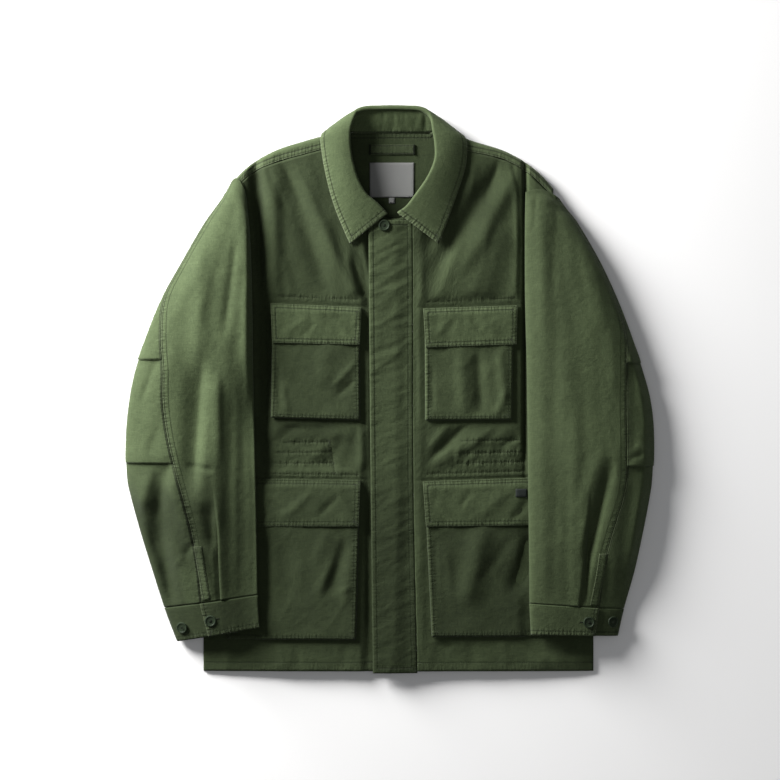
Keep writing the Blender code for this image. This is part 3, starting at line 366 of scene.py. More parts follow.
def front_base(side, x, y):
    """The front without its folds. The left front laps over the right at the centre."""
    height = front_height(x, y)
    if side == LEFT:
        return height + LAP_RISE * (1 - ease(x, *LAP_RUN))
    return height - UNDERLAP_DROP * ease(x, *UNDERLAP_RUN)


def open_surface(side, x, y):
    """Middle of the front's cloth, with the solid's folds and the finer ones."""
    coarse = folds_free(x, y) * fold_height(FRONT_FOLDS, x, y)
    return front_base(side, x, y) + coarse + front_relief(side, x, y)


def front_surface(side, x, y):
    """The same, with the step that lets the right-hand side of the fly lie flush with the front."""
    height = open_surface(side, x, y)
    if side == RIGHT:
        return height
    edge = fly_edges(y)[1]
    return height - FLY_SINK * ease(x, *FLY_RUN) * (1 - ease(x, edge - 1.4, edge + 0.7))


def body_top(x, y):
    """Upper face of whatever lies under a sleeve at this point: front, or pocket and flap."""
    on_pocket = between(y, -366, -348, -118, -20) * (1 - ease(np.abs(x), 241, 256))
    return front_height(x, y) + HALF + POCKET_STACK * on_pocket


# ---------------------------------------------------------------------------- sleeve surfaces
def sleeve_row(side, t):
    row = row_at(Section, SLEEVE_CURVES[side], t)
    return row._replace(out_x=row.out_x - side * OUTLINE_INSET)


def sleeve_base(row, a, thick):
    """Plan position at a share a across, and the line between the middles of the two edges."""
    x = mix(row.in_x, row.out_x, a)
    y = mix(row.in_y, row.out_y, a) + row.bow * 4 * a * (1 - a)
    inner = body_top(row.in_x, row.in_y) + LAY + thick / 2 + row.roll
    outer = thick / 2 + OUTER_ROLL
    return x, y, mix(inner, outer, a)


def sleeve_wide(row):
    return np.hypot(row.out_x - row.in_x, row.out_y - row.in_y)


def row_of(count, first=0.0, last=1.0):
    """Even steps as one row of a grid."""
    return np.linspace(first, last, count)[None, :]


def bend_row(first, last, count):
    """Shares of a bend's radius at even turns between two angles."""
    return 1 - np.cos(row_of(count, first, last))


def upper_layer(side, t, a, thick=CLOTH):
    row = sleeve_row(side, t)
    x, y, base = sleeve_base(row, a, thick)
    crown = np.sqrt(np.maximum(1 - np.abs(2 * a - 1) ** 2.2, 0.0)) + 0.12 * (1 - np.abs(2 * a - 1))
    inland = ease(np.minimum(a, 1 - a), 0.02, 0.16)
    head = mix(0.5, 1.0, ease(t, 0.0, 1.6)) * (1 - LEAN[side] * ease(t, 6.8, 9.2) * (1 - ease(a, 0.0, 0.44)))
    z = base + head * row.crown * crown + inland * fold_height(SLEEVE_FOLDS[side], x, y)
    z = z + sleeve_relief(side, t, a, x, y)
    z = z + WRIST_BULGE[side] * between(t, 8.0, 10.5, 11.6, 13.9) * hump(a, 0.46, 0.20)
    rise, *rows = OUTER_BULGE[side]
    z = z + rise * between(t, *rows) * ease(1 - a, 0.0, 0.09) * ease(a, 0.30, 0.92)
    z = z + SHOULDER_BULGE[side] * between(t, 1.0, 3.5, 6.0, 10.0) * hump(a, SHOULDER_PLACE[side], 0.22)
    return grid_at(x, y, z)


def under_layer(side, t, a, on_floor, thick=CLOTH):
    row = sleeve_row(side, t)
    x, y, base = sleeve_base(row, a, thick)
    wide = sleeve_wide(row)
    rest = thick / 2 + 0 * x
    if not on_floor:
        out = (x - side_x(side, y)) * side
        rest = mix(body_top(x, y) + LAY + thick / 2, thick / 2, ease(out, 0.5, STEP_RUN))
    near = np.minimum(np.minimum(a * wide / row.roll, (1 - a) * wide / OUTER_ROLL), 1.0)
    turn = np.sqrt(np.maximum(1 - (1 - near) ** 2, 0.0))
    return grid_at(x, y, mix(base, rest, turn))


def step_off(side, row):
    """1 below the underarm, where the sleeve steps down off the body's side, and 0 above it."""
    return 1 - ease(mix(row.in_y, row.out_y, row.join), UNDERARM_Y - 40, UNDERARM_Y + 5)


def join_share(side, row):
    """Where the two under layers meet: on the armhole line, and below the underarm just off the body."""
    y = mix(row.in_y, row.out_y, row.join)
    x = side_x(side, y) + side * (STEP_RUN + 0.5) * step_off(side, row)
    return (x - row.in_x) / (row.out_x - row.in_x)


def tuck_height(side, t):
    """Saw-tooth along the sleeve at each elbow tuck: the cloth above laps over the cloth below."""
    total = np.zeros(np.shape(t))
    for tuck in TUCK_ROWS[side]:
        above = TUCK_STEP * ease(t, tuck - 0.6, tuck)
        below = -TUCK_STEP * (1 - ease(t, tuck + 0.05, tuck + 0.8))
        total = total + np.where(t <= tuck, above, below)
    return total


def sleeve_steps(side):
    """Row numbers of the rings, with a close pair at each tuck."""
    steps = np.concatenate([np.linspace(0, 3, 26), np.linspace(3.05, CUFF_SEAM, 196)])
    for tuck in TUCK_ROWS[side]:
        steps = steps[np.abs(steps - tuck) > 0.035]
        steps = np.concatenate([steps, [tuck - 0.02, tuck - 0.004, tuck + 0.012, tuck + 0.035]])
    steps = np.sort(steps)
    steps[-1] = CUFF_SEAM - 0.004
    return steps


def upper_grid(side, steps):
    """From the hidden seam under the inner edge, round that edge and across the top to the rear seam."""
    t = steps[:, None]
    row = sleeve_row(side, t)
    wide = sleeve_wide(row)
    join = join_share(side, row)
    landing = join - (3.0 + 10.0 * step_off(side, row)) / wide
    step = CUFF_PLEAT_STEP * ease(t, 10.3, 12.2)
    f = row_of(34) ** 1.25
    inner = upper_layer(side, t, (row.pleat - PLEAT_EDGE / wide) * f)
    inner[..., 2] += step * ease(f, 0.72, 1.0)
    f = row_of(40)
    outer = upper_layer(side, t, mix(row.pleat + PLEAT_EDGE / wide, row.seam - SEAM / wide, f))
    outer[..., 2] -= step * (1 - ease(f, 0.0, 0.28))
    hidden = [
        join,
        mix(row.roll * 1.3 / wide, landing, row_of(12, 1, 0)),
        row.roll * bend_row(math.pi / 2, 0, 6)[:, :-1] / wide,
    ]
    return np.concatenate([under_layer(side, t, a, False) for a in hidden] + [inner, outer], 1)


def lower_grid(side, steps):
    """From the rear seam round the outer edge, then flat on the floor to the hidden seam."""
    t = steps[:, None]
    row = sleeve_row(side, t)
    wide = sleeve_wide(row)
    lift = tuck_height(side, t)
    f = 1 - (1 - row_of(30)[:, :-1]) ** 1.5
    shown = upper_layer(side, t, mix(row.seam + SEAM / wide, 1.0, f))
    shown[..., 2] += lift * ease(f, -0.2, 0.3)
    shown[..., 0] += side * lift * TUCK_OUT * f**3
    near = bend_row(0, math.pi / 2, 7)
    rim = under_layer(side, t, 1 - OUTER_ROLL * near / wide, True)
    rim[..., 0] += side * lift * TUCK_OUT * (1 - near)
    flat = mix(1 - OUTER_ROLL * 1.1 / wide, join_share(side, row) + 1.0 / wide, row_of(10))
    return np.concatenate([shown, rim, under_layer(side, t, flat, True)], 1)


# ---------------------------------------------------------------------------- cuffs
# The cuff overlaps itself: the share of the way across at its visible edge, and how far it runs on under it
CUFF_WRAP = {RIGHT: 0.615, LEFT: 0.735}
CUFF_OVER = 0.12
CUFF_STEP_UP = 2.9
CUFF_TUCK = 0.6  # how far its top edge sinks to meet the sleeve


def cuff_face(side, t, a, under):
    """The cuff's upper face, as far as its visible edge or, with under, the part that runs on below it."""
    point = upper_layer(side, t, a, TURNED)
    wrap = CUFF_WRAP[side]
    sunk = CUFF_TUCK * (1 - ease(t, CUFF_SEAM, CUFF_SEAM + 0.10))
    if under:
        point[..., 2] -= 0.6 * (1 - ease(a, wrap, wrap + 0.12)) + sunk
    else:
        point[..., 2] += CUFF_STEP_UP * ease(a, wrap - 0.30, wrap) - sunk
    return point


def cuff_grid(side):
    t = np.linspace(CUFF_SEAM + 0.012, CUFF_END, 22)[:, None]
    row = sleeve_row(side, t)
    wide = sleeve_wide(row)
    wrap = CUFF_WRAP[side]
    body = (side_x(side, mix(row.in_y, row.out_y, 0.6)) + side * 0.8 - row.in_x) / (row.out_x - row.in_x)
    flat = [
        row.roll * bend_row(0, math.pi / 2, 6) / wide,
        mix(row.roll * 1.3 / wide, body, row_of(6)),
        mix(body + (STEP_RUN - 0.5) / wide, 1 - OUTER_ROLL * 1.3 / wide, row_of(6)),
        1 - OUTER_ROLL * bend_row(math.pi / 2, 0, 6) / wide,
    ]
    parts = [cuff_face(side, t, wrap * (1 - row_of(42)[:, :-1]) ** 1.2, False)]
    parts += [under_layer(side, t, a, False, TURNED) for a in flat]
    parts.append(cuff_face(side, t, mix(1.0, wrap - CUFF_OVER, row_of(26)[:, 1:] ** 1.2), True))
    return np.concatenate(parts, 1)


Placket = namedtuple("Placket", "top_t end_t at_top at_end wide")
PLACKET_WALL = 0.9
PLACKETS = {
    RIGHT: Placket(12.35, 13.93, 0.52, 0.535, 11.0),
    LEFT: Placket(12.45, 13.93, 0.665, 0.675, 11.0),
}


def placket_grid(side):
    """The bound edge of the sleeve's slit, laid on the upper sleeve beside the rear seam."""
    strip = PLACKETS[side]
    t = np.linspace(strip.top_t, strip.end_t, 34)[:, None]
    row = sleeve_row(side, t)
    middle = mix(strip.at_top, strip.at_end, (t - strip.top_t) / (strip.end_t - strip.top_t))
    part = upper_layer(side, t, middle + row_of(7, -0.5, 0.5) * strip.wide / sleeve_wide(row))
    part[..., 2] += HALF + PLACKET_WALL / 2 + 0.08
    return part


# ---------------------------------------------------------------------------- back and shoulders
# The yoke wraps over the shoulder: outline is where it turns, forward the seam where it meets the front, and
# neck how much of it is there, from 0 at the back neck seam to 1 at the forward seam
Shoulder = namedtuple("Shoulder", "x outline forward neck")
SHOULDERS = table(Shoulder,
    (-214, 287, 274, 1), (-207, 294.5, 282, 1), (-192, 308.5, 296, 1), (-163, 325.5, 309.5, 1),
    (-115, 342, 323.5, 1), (-93, 348, 329.5, 1), (-80, 350.5, 333, 1), (-68, 353, 338, 0.45),
    (-56, 355, 345, 0), (0, 355, 345, 0), (56, 355, 345, 0), (70, 353.5, 338, 0.45),
    (84, 350.5, 333, 1), (103, 345.5, 328.5, 1), (116, 341, 325.5, 1), (163, 325.5, 313.5, 1),
    (192, 308.5, 296.5, 1), (211, 292, 279.5, 1), (225, 276, 264.5, 1),
)
SHOULDER_CURVES = table_curves(SHOULDERS, "x")
YOKE_TIPS = {RIGHT: -211.0, LEFT: 225.0}
BACK_NECK_Y = 353.4


def back_grid():
    y = np.concatenate([np.linspace(HEM_Y, 57, 46), np.linspace(62, YOKE_Y - SEAM, 18)])[:, None]
    x = mix(side_x(RIGHT, y), side_x(LEFT, y), row_of(46))
    return grid_at(x, y, HALF)


def yoke_grid():
    """Up the back, over the shoulder and forward, from the lower seam to the front edge."""
    share = np.concatenate([np.linspace(0, 0.68, 34), np.linspace(0.69, 1.0, 44)])[:, None]
    x = row_of(168, YOKE_TIPS[RIGHT], YOKE_TIPS[LEFT])
    outline, forward = (SHOULDER_CURVES[name](x) for name in ("outline", "forward"))
    kept = np.clip(SHOULDER_CURVES["neck"](x), 0.0, 1.0)
    top = np.where(x < 0, front_surface(RIGHT, x, forward), front_surface(LEFT, x, forward))
    radius = (top - HALF) / 2
    flat = outline - HALF - radius - YOKE_Y
    wrap = math.pi * radius
    whole = flat + wrap + (outline - HALF - radius - forward)
    run = share * mix(BACK_NECK_Y - YOKE_Y, whole, kept)
    turn = (run - flat) / radius
    on_back = (run <= flat) | (kept == 0)
    on_turn = run <= flat + wrap
    edge = YOKE_Y + flat
    forwards = edge - (run - flat - wrap)
    y = np.where(on_back, YOKE_Y + run, np.where(on_turn, edge + radius * np.sin(turn), forwards))
    z = np.where(on_back, HALF, np.where(on_turn, HALF + radius * (1 - np.cos(turn)), top))
    low, high = armhole_x(RIGHT, YOKE_Y) + 1.0, armhole_x(LEFT, YOKE_Y) - 1.0
    foot = low + (high - low) * (x - YOKE_TIPS[RIGHT]) / (YOKE_TIPS[LEFT] - YOKE_TIPS[RIGHT])
    x = mix(foot, x, ease(share, 0.0, 0.7))
    y = y + SEAM * (share == 0)
    return grid_at(x, y, z)


# ---------------------------------------------------------------------------- fronts and fly
NECKLINE = {
    RIGHT: [(-4, 236), (-22, 242), (-42, 258), (-58, 282), (-68, 306), (-76, 332)],
    LEFT: [(-26, 233), (12, 234), (32, 241), (50, 262), (66, 288), (76, 312), (80, 332)],
}
UNDERLAP_X = 20.0
FLY_TOP_Y, FLY_FOOT_Y = 232.0, HEM_Y - 2.2
FLY_LEFT_EDGE = [(-28.9, FLY_TOP_Y), (-28.5, 170.0), (-26.8, -42.6), (-24.2, -280.0), (-22.7, FLY_FOOT_Y)]
FLY_RIGHT_EDGE = [(31.5, FLY_TOP_Y), (32.3, 170.0), (32.6, -110.0), (34.6, -230.0), (38.5, FLY_FOOT_Y)]


def front_top(side):
    """Neckline, then the forward shoulder seam out to the armhole."""
    stations = np.array([side * x for x in (84, 100, 116, 140, 163, 178, 192)] + [YOKE_TIPS[side]])
    return NECKLINE[side] + list(zip(stations, SHOULDER_CURVES["forward"](stations) - 0.9))


def front_plan(side, b, r):
    """Plan position from centre edge (b 0) to side (b 1), and from hem (r 0) to neck (r 1)."""
    top = front_top(side)
    if side == RIGHT:
        hem_in = (UNDERLAP_X, HEM_Y)
        inner_x = mix(UNDERLAP_X, top[0][0], ease(r, 0.93, 1.0))
        centre = np.stack([inner_x, mix(HEM_Y, top[0][1], r)], -1)
    else:
        hem_in = (FLY_LEFT_EDGE[-1][0] + 2.0, HEM_Y)
        centre = path_point([hem_in, (-24.8, -42.6), top[0]], r)
    hem_out = (float(side_x(side, HEM_Y)), HEM_Y)
    y = mix(HEM_Y, top[-1][1], r)
    outer_x = mix(side_x(side, y) - side * 0.4, top[-1][0], ease(y, 225.0, top[-1][1]))
    up = mix(path_point([hem_in, hem_out], b), path_point(top, b), r[..., None])
    across = mix(centre, np.stack([outer_x, y], -1), b[..., None])
    return up + across - quad_point([hem_in, hem_out, top[-1], top[0]], b, r)


def close_rows(count, bands):
    """Shares from 0 to 1, twice as close inside the bands."""
    fine = np.linspace(0, 1, 2001)
    dense = np.ones(fine.shape)
    for start, end in bands:
        dense += (fine >= start) & (fine <= end)
    run = np.cumsum(dense)
    return np.interp(np.linspace(run[0], run[-1], int(count * dense.mean())), run, fine)


FINE_ACROSS = [(0.17, 0.23), (0.70, 0.84)]
FINE_UP = [(0.01, 0.03), (0.37, 0.53), (0.72, 0.81)]


def front_grid(side):
    b, r = np.meshgrid(close_rows(112, FINE_ACROSS), close_rows(215, FINE_UP))
    x, y = plan(front_plan(side, b, r))
    return grid_at(x, y, front_surface(side, x, y))


def fly_height(x, y):
    sewn = FLY_SINK * ease(x, *FLY_RUN)
    return open_surface(LEFT, x, y) + HALF + LAY + TURNED / 2 - sewn


def fly_top(x, y):
    return fly_height(x, y) + fly_relief(x, y)


def fly_edges(y):
    """Where the fly's two edges are at this height."""
    edges = (np.array(edge[::-1]) for edge in (FLY_LEFT_EDGE, FLY_RIGHT_EDGE))
    return [np.interp(y, edge[:, 1], edge[:, 0]) for edge in edges]


def fly_grid():
    y = np.linspace(FLY_FOOT_Y, FLY_TOP_Y, 330)[:, None]
    x = mix(*fly_edges(y), row_of(27))
    return grid_at(x, y, fly_top(x, y))


# ---------------------------------------------------------------------------- collar: one row a section
# neck is the seam, roll the line where the collar turns over, edge the free edge of the leaf. The leaf bulges
# towards a point a share "reach" of the way from roll to edge, at height bulge_z and "swell" further out.
CollarRow = namedtuple(
    "CollarRow", "neck_x neck_y neck_z roll_x roll_y roll_z edge_x edge_y edge_z reach bulge_z swell"
)
COLLAR = table(CollarRow,
    (-12, 235, 17.2, -3.4, 240, 24, -54.3, 198.8, 20.2, 0.45, 27.5, 0),
    (-26, 243, 17.2, -17.2, 254.5, 26.5, -63, 219, 19.4, 0.45, 30.5, 0),
    (-45, 256, 18, -32.3, 267.5, 28.5, -72.5, 242, 19, 0.45, 32.5, 0),
    (-59, 277, 17.9, -43.5, 287, 30, -81, 268, 18.7, 0.45, 34, 0),
    (-68, 300, 17.6, -50.5, 310, 30.5, -88, 297, 18.3, 0.45, 34.5, 0),
    (-75, 322, 17.5, -54.3, 334, 30, -93, 326, 18.1, 0.48, 34, 1),
    (-76, 342, 17.6, -54, 356, 28, -94, 347.5, 17.8, 0.55, 30, 2),
    (-71, 354.5, 13, -49, 373, 24, -84.5, 356.5, 9, 0.75, 20, 5),
    (-62, 355, 6, -43, 383.5, 20.5, -71, 362.5, 3.6, 0.62, 8, 5),
    (-48, 353.2, 1.9, -31, 387.8, 18, -50, 360.5, 1.3, 0.15, 2.5, 2),
    (-22, 353, 1.6, -14, 388.6, 17, -22, 359.5, 1.3, -0.02, 1.6, 0),
    (4, 353, 1.6, 4, 388.9, 17, 4, 359, 1.3, -0.04, 1.4, 0),
    (28, 353, 1.6, 22, 388.5, 17, 28, 359.5, 1.3, -0.02, 1.6, 0),
    (50, 353.2, 1.9, 39.5, 387.5, 18, 54, 360.5, 1.3, 0.15, 2.5, 2),
    (65, 355, 6, 50.5, 382.8, 20.5, 76.5, 361.5, 3.6, 0.62, 8, 5),
    (76, 354.5, 13, 57, 372, 24, 92, 354.5, 9, 0.75, 20, 5),
    (83, 342, 17.8, 60, 354, 28, 104, 345, 17.9, 0.55, 28.5, 2),
    (83, 326, 17.7, 63, 334, 30, 106.6, 328, 18.4, 0.48, 31, 1),
    (78, 306, 17.8, 62.5, 313.5, 30.5, 104, 304, 18.8, 0.45, 31, 0),
    (67, 280, 17.9, 52.5, 290, 30, 95.5, 275.5, 19, 0.45, 30, 0),
    (50, 257, 19.7, 36.5, 267, 28.5, 86, 248.5, 19.6, 0.45, 28.8, 0),
    (32, 241, 20.8, 23.7, 250.5, 27.5, 76.5, 222, 20.4, 0.45, 27.6, 0),
    (19, 236, 20.9, 11.1, 241.4, 25.5, 67.3, 199.4, 21, 0.45, 26, 0),
)
COLLAR_CURVES = table_curves(COLLAR, None)
ROLL_RADIUS = 2.9  # of the leaf's middle about the roll's axis
STAND_SHORT = 1.6  # from the roll's axis down to the stand's top edge


def bend(first, pull, last, f):
    """A curve from first to last that leans towards pull."""
    return (1 - f) ** 2 * first + 2 * f * (1 - f) * pull + f * f * last


def collar_row(t):
    return row_at(CollarRow, COLLAR_CURVES, t)


def collar_point(row, end):
    return np.stack([getattr(row, f"{end}_{axis}") for axis in "xyz"], -1)


def stand_frame(t):
    """The top of the stand, the way it rises, the way from it to the leaf's side, and outward in plan."""
    neck, roll = (collar_point(collar_row(t), end) for end in ("neck", "roll"))
    along = collar_point(collar_row(t + 0.2), "roll") - collar_point(collar_row(t - 0.2), "roll")
    outward = unit(np.stack([-along[:, 1], along[:, 0], 0 * along[:, 0]], -1))
    rise = roll - neck
    rise = unit(rise - along * dot(rise, along) / dot(along, along))
    leaf_side = outward * rise[:, 2:] - UP * dot(rise, outward)
    return roll - rise * ROLL_RADIUS, rise, leaf_side, outward


COLLAR_STEPS = np.linspace(0, len(COLLAR) - 1, 280)


def stand_grid():
    """From the neck seam up to just under the roll."""
    neck = collar_point(collar_row(COLLAR_STEPS), "neck")
    top, rise, leaf_side, _ = stand_frame(COLLAR_STEPS)
    top = top - rise * STAND_SHORT
    pull = mix(neck, top, 0.5) - leaf_side * 0.4
    points = np.stack([bend(neck, pull, top, f) for f in np.linspace(0, 1, 15)], 1)
    x, y = plan(points)
    wrinkle = wander(x, y * 0.15, 9, 61) + 0.5 * wander(x, y * 0.4, 5, 62)
    points[..., 2] += 1.1 * np.sin(row_of(15, 0, math.pi)) * wrinkle
    return points


def leaf_grid():
    """A short lip inside the stand, the roll about its top edge, then across to the free edge."""
    row = collar_row(COLLAR_STEPS)
    edge = collar_point(row, "edge")
    top, rise, leaf_side, outward = stand_frame(COLLAR_STEPS)
    line = [top - leaf_side * ROLL_RADIUS - rise * 1.0, top - leaf_side * ROLL_RADIUS * 0.97]
    for turn in np.radians(np.linspace(-66, 25, 8)):
        line.append(top + ROLL_RADIUS * (leaf_side * math.sin(turn) + rise * math.cos(turn)))
    start = line[-1]
    pull = mix(start, edge, row.reach[:, None]) + outward * row.swell[:, None]
    pull[:, 2] = row.bulge_z
    line += [bend(start, pull, edge, f) for f in np.linspace(0, 1, 30)[1:]]
    return np.stack(line, 1)


# ---------------------------------------------------------------------------- pockets
# Corners of flap and bag are (x, y) from the top edge's low-x corner, clockwise as the wearer's front is seen
Pocket = namedtuple("Pocket", "name side flap bag")
POCKETS = table(Pocket,
    ("chest_pocket_right", RIGHT,
     [(-163.4, 117.9), (-38.1, 111.8), (-40.6, 60.5), (-161.2, 63.3)],
     [(-160.5, 104.0), (-41.4, 100.0), (-40.6, -42.6), (-162.7, -39.2)]),
    ("chest_pocket_left", LEFT,
     [(46.5, 110.5), (176.3, 114.9), (174.8, 61.2), (49.5, 56.7)],
     [(48.8, 98.0), (170.3, 102.0), (168.1, -41.8), (49.5, -42.6)]),
    ("lower_pocket_right", RIGHT,
     [(-226.0, -123.1), (-39.6, -125.7), (-42.0, -189.1), (-226.0, -189.1)],
     [(-223.5, -138.0), (-41.0, -140.0), (-46.5, -344.6), (-223.5, -343.9)]),
    ("lower_pocket_left", LEFT,
     [(45.8, -127.2), (234.0, -121.0), (234.0, -187.1), (50.2, -189.1)],
     [(48.8, -141.0), (231.0, -137.0), (232.0, -340.0), (58.5, -340.4)]),
)
BAG_PROUD = 3.2  # how far a bellows pocket stands off the front at its bottom edge
BAG_WALL = 2.2
FLAP_WALL = 1.7
TAB_WALL = 0.7
POCKET_STEP = 2.7  # mesh size of bags and flaps
GUSSET = 3.2  # how far in from its sewn edges a bag has risen to its full height
FLAP_RIM = 3.0  # width of the finer mesh along a flap's edges


def quad_size(corners):
    return abs(corners[1][0] - corners[0][0]), abs(corners[0][1] - corners[3][1])


def bag_proud(x, v):
    """How far the bag's open part stands off the front: less near its top, and least under a sleeve."""
    return BAG_PROUD * mix(0.25, 1.0, v) * mix(0.12, 1.0, 1 - ease(np.abs(x), 174.0, 190.0))


def bag_lift(pocket, x, u, v):
    """Gap between front and bag: none where its three sewn edges lie down, most at the bottom."""
    wide, tall = (size / GUSSET for size in quad_size(pocket.bag))
    near = np.minimum(np.minimum(u * wide, (1 - u) * wide), np.minimum((1 - v) * tall, 1))
    return bag_proud(x, v) * np.sqrt(1 - (1 - np.clip(near, 0, 1)) ** 2)


def edge_shares(size, fine):
    """Shares along a side, close together near both ends."""
    near = np.linspace(0, fine / size, 4)
    middle = np.linspace(near[-1], 1 - near[-1], int(size / POCKET_STEP))
    return np.concatenate([near[:-1], middle, 1 - near[::-1][1:]])


def quad_grid(corners, fine):
    """Shares and plan positions of a pocket's grid."""
    u, v = np.meshgrid(*(edge_shares(size, fine) for size in quad_size(corners)))
    return u, v, *plan(quad_point(corners, u, v))


def bag_grid(pocket):
    u, v, x, y = quad_grid(pocket.bag, GUSSET)
    z = front_base(pocket.side, x, y) + HALF + LAY + BAG_WALL / 2 + bag_lift(pocket, x, u, v)
    return grid_at(x, y, z + bag_relief(pocket, x, y, u, v))


def flap_height(pocket, x, y):
    """The flap lies on the front at its sewn edge and on the bag below it."""
    share = (x - pocket.bag[0][0]) / (pocket.bag[1][0] - pocket.bag[0][0])
    bag_top = mix(pocket.bag[0][1], pocket.bag[1][1], share)
    down = (bag_top - y) / quad_size(pocket.bag)[1]
    on_bag = 1 - ease(y, bag_top + 3.0, bag_top + 14.0)
    lift = BAG_WALL + LAY + bag_proud(x, np.maximum(down, 0.0))
    return front_base(pocket.side, x, y) + HALF + LAY + FLAP_WALL / 2 + on_bag * lift


def flap_grid(pocket):
    u, _, x, y = quad_grid(pocket.flap, FLAP_RIM)
    return grid_at(x, y, flap_height(pocket, x, y) + flap_relief(pocket, x, y, u))


# ---------------------------------------------------------------------------- relief the solids leave out
FINE_FRONT = {
    RIGHT: creases(
        (277, 176, 277, 296, 1.9, 8.5), (299, 160, 328, 222, -1.6, 6), (281, 161, 304, 208, -1.6, 5),
        (322, 222, 352, 292, 1.8, 7), (352, 258, 367, 306, -3, 4.6), (362, 236, 372, 296, 3.2, 5),
        (284, 258, 292, 300, 1.3, 6), (266, 163, 286, 214, -1.7, 6), (258, 460, 364, 459, -3, 17),
        (262, 444, 362, 443, -1.8, 12), (300, 424, 276, 440, -1.4, 7), (352, 424, 338, 470, 1, 7),
        (282, 428, 330, 428, -1.2, 8), (268, 424, 264, 474, 1.6, 6), (225, 652, 228, 672, 1, 7),
        (278, 645, 284, 670, 1.3, 7), (296, 645, 299, 671, -1.2, 6), (345, 644, 341, 671, -1, 7),
    ),
    LEFT: creases(
        (499, 161, 484, 204, -1.9, 4.5), (515, 165, 519, 250, 1.8, 6), (462, 238, 436, 302, 2.2, 9),
        (500, 206, 478, 302, -0.6, 7), (521, 230, 514, 300, 1.4, 7), (512, 162, 518, 190, -1.4, 3.5),
        (476, 160, 470, 196, 0.9, 4), (498, 172, 462, 232, -1.6, 8), (516, 178, 478, 252, 1.6, 10),
        (422, 246, 421.5, 430, 1.2, 6), (470, 421, 429, 461, -2.8, 5.5), (514, 426, 460, 462, 0.9, 7),
        (496, 426, 462, 452, 0.9, 4.5), (450, 422, 430, 448, 2, 6), (520, 436, 500, 448, -1.6, 5),
        (419.5, 470, 421.5, 632, 0.7, 7), (470, 640, 474, 668, -1.2, 8), (530, 661, 594, 661, 2.6, 12),
        (500, 642, 508, 668, 1.2, 8), (440, 640, 450, 650, -1.6, 7),
    ),
}
# Deep dips of the body's cloth beside the fly and beside each sleeve's inner edge
GAPS = {
    RIGHT: creases(
        (250.5, 150, 256.5, 228, -5.5, 7), (256, 120, 260.5, 300, -6.8, 7),
        (264, 292, 266, 478, -7, 9), (368, 300, 368.5, 470, 1.6, 4), (367.5, 484, 369, 655, -2.6, 4.6),
    ),
    LEFT: creases(
        (524.6, 149, 525.4, 232, -8.5, 2.6), (525.6, 205, 525.2, 310, -7, 2.6),
        (524.8, 300, 525.2, 474, -6, 3.4), (530, 150, 536, 200, 1.2, 9),
        (420.5, 236, 420, 460, 0.9, 5.5), (420, 450, 422.5, 660, 0.9, 5.5),
    ),
}
FINE_SLEEVE = {
    RIGHT: creases(
        (236, 190, 168, 330, 1.6, 14), (249, 205, 249.5, 395, 4.6, 7), (246, 285, 246, 365, 3, 9),
        (238, 236, 226, 335, -1.4, 6), (222, 232, 196, 330, 0.9, 8), (180, 330, 150, 430, 1.2, 13),
        (219, 376, 220, 462, 4, 8, -0.3), (188, 465, 214, 470, -2.2, 4), (237, 330, 232, 440, -1.6, 9),
        (228, 390, 222, 520, 0.9, 6), (247, 400, 250, 600, 0.6, 5), (239, 470, 241, 596, -0.6, 4),
        (231, 430, 232, 560, -0.5, 5), (156, 462, 141, 512, 2.4, 8), (171, 458, 157, 518, -3.4, 8),
        (155, 505, 154, 560, -1.8, 11), (152, 524, 175, 606, -5.2, 12), (156, 362, 142, 402, -1.3, 5),
        (160, 425, 150, 455, -1.2, 6), (218, 452, 219, 530, 2.4, 8), (212, 506, 213, 552, -2.2, 5),
        (200, 545, 214, 598, 2.2, 6), (196, 540, 185, 556, -2.2, 4.5), (189, 538, 197, 552, 1, 3.5),
        (186, 552, 176, 566, 0.9, 4), (214, 212, 150, 340, -0.9, 12),
    ),
    LEFT: creases(
        (545, 195, 541, 330, 0.6, 7), (556, 199, 552, 300, -0.5, 5), (562, 203, 572, 300, 0.7, 7),
        (572, 212, 586, 312, -0.7, 7), (586, 230, 604, 322, 0.6, 6), (536, 195, 533, 230, -1, 4),
        (556, 300, 552, 470, -0.7, 8), (575, 400, 574, 500, 1.2, 8), (597, 330, 601, 425, -0.5, 7),
        (610, 330, 613, 400, 0.6, 6), (540, 340, 543, 600, 0.6, 7), (556, 470, 552, 600, -0.6, 6),
        (571, 480, 572, 600, 0.8, 5), (601, 496, 585, 578, -3.2, 5), (589, 520, 584, 605, -3.6, 4.2),
        (601, 450, 573, 520, 1.4, 9), (622, 428, 604, 552, 0.6, 7), (626, 460, 642, 453, -1.8, 4),
        (634, 444, 647, 451, 1.7, 6), (634, 470, 618, 562, -1, 8), (641, 480, 630, 560, 1, 7),
        (608, 560, 604, 604, -0.7, 4), (619, 540, 612, 598, 0.7, 6), (632, 368, 641, 430, -1, 6),
    ),
}
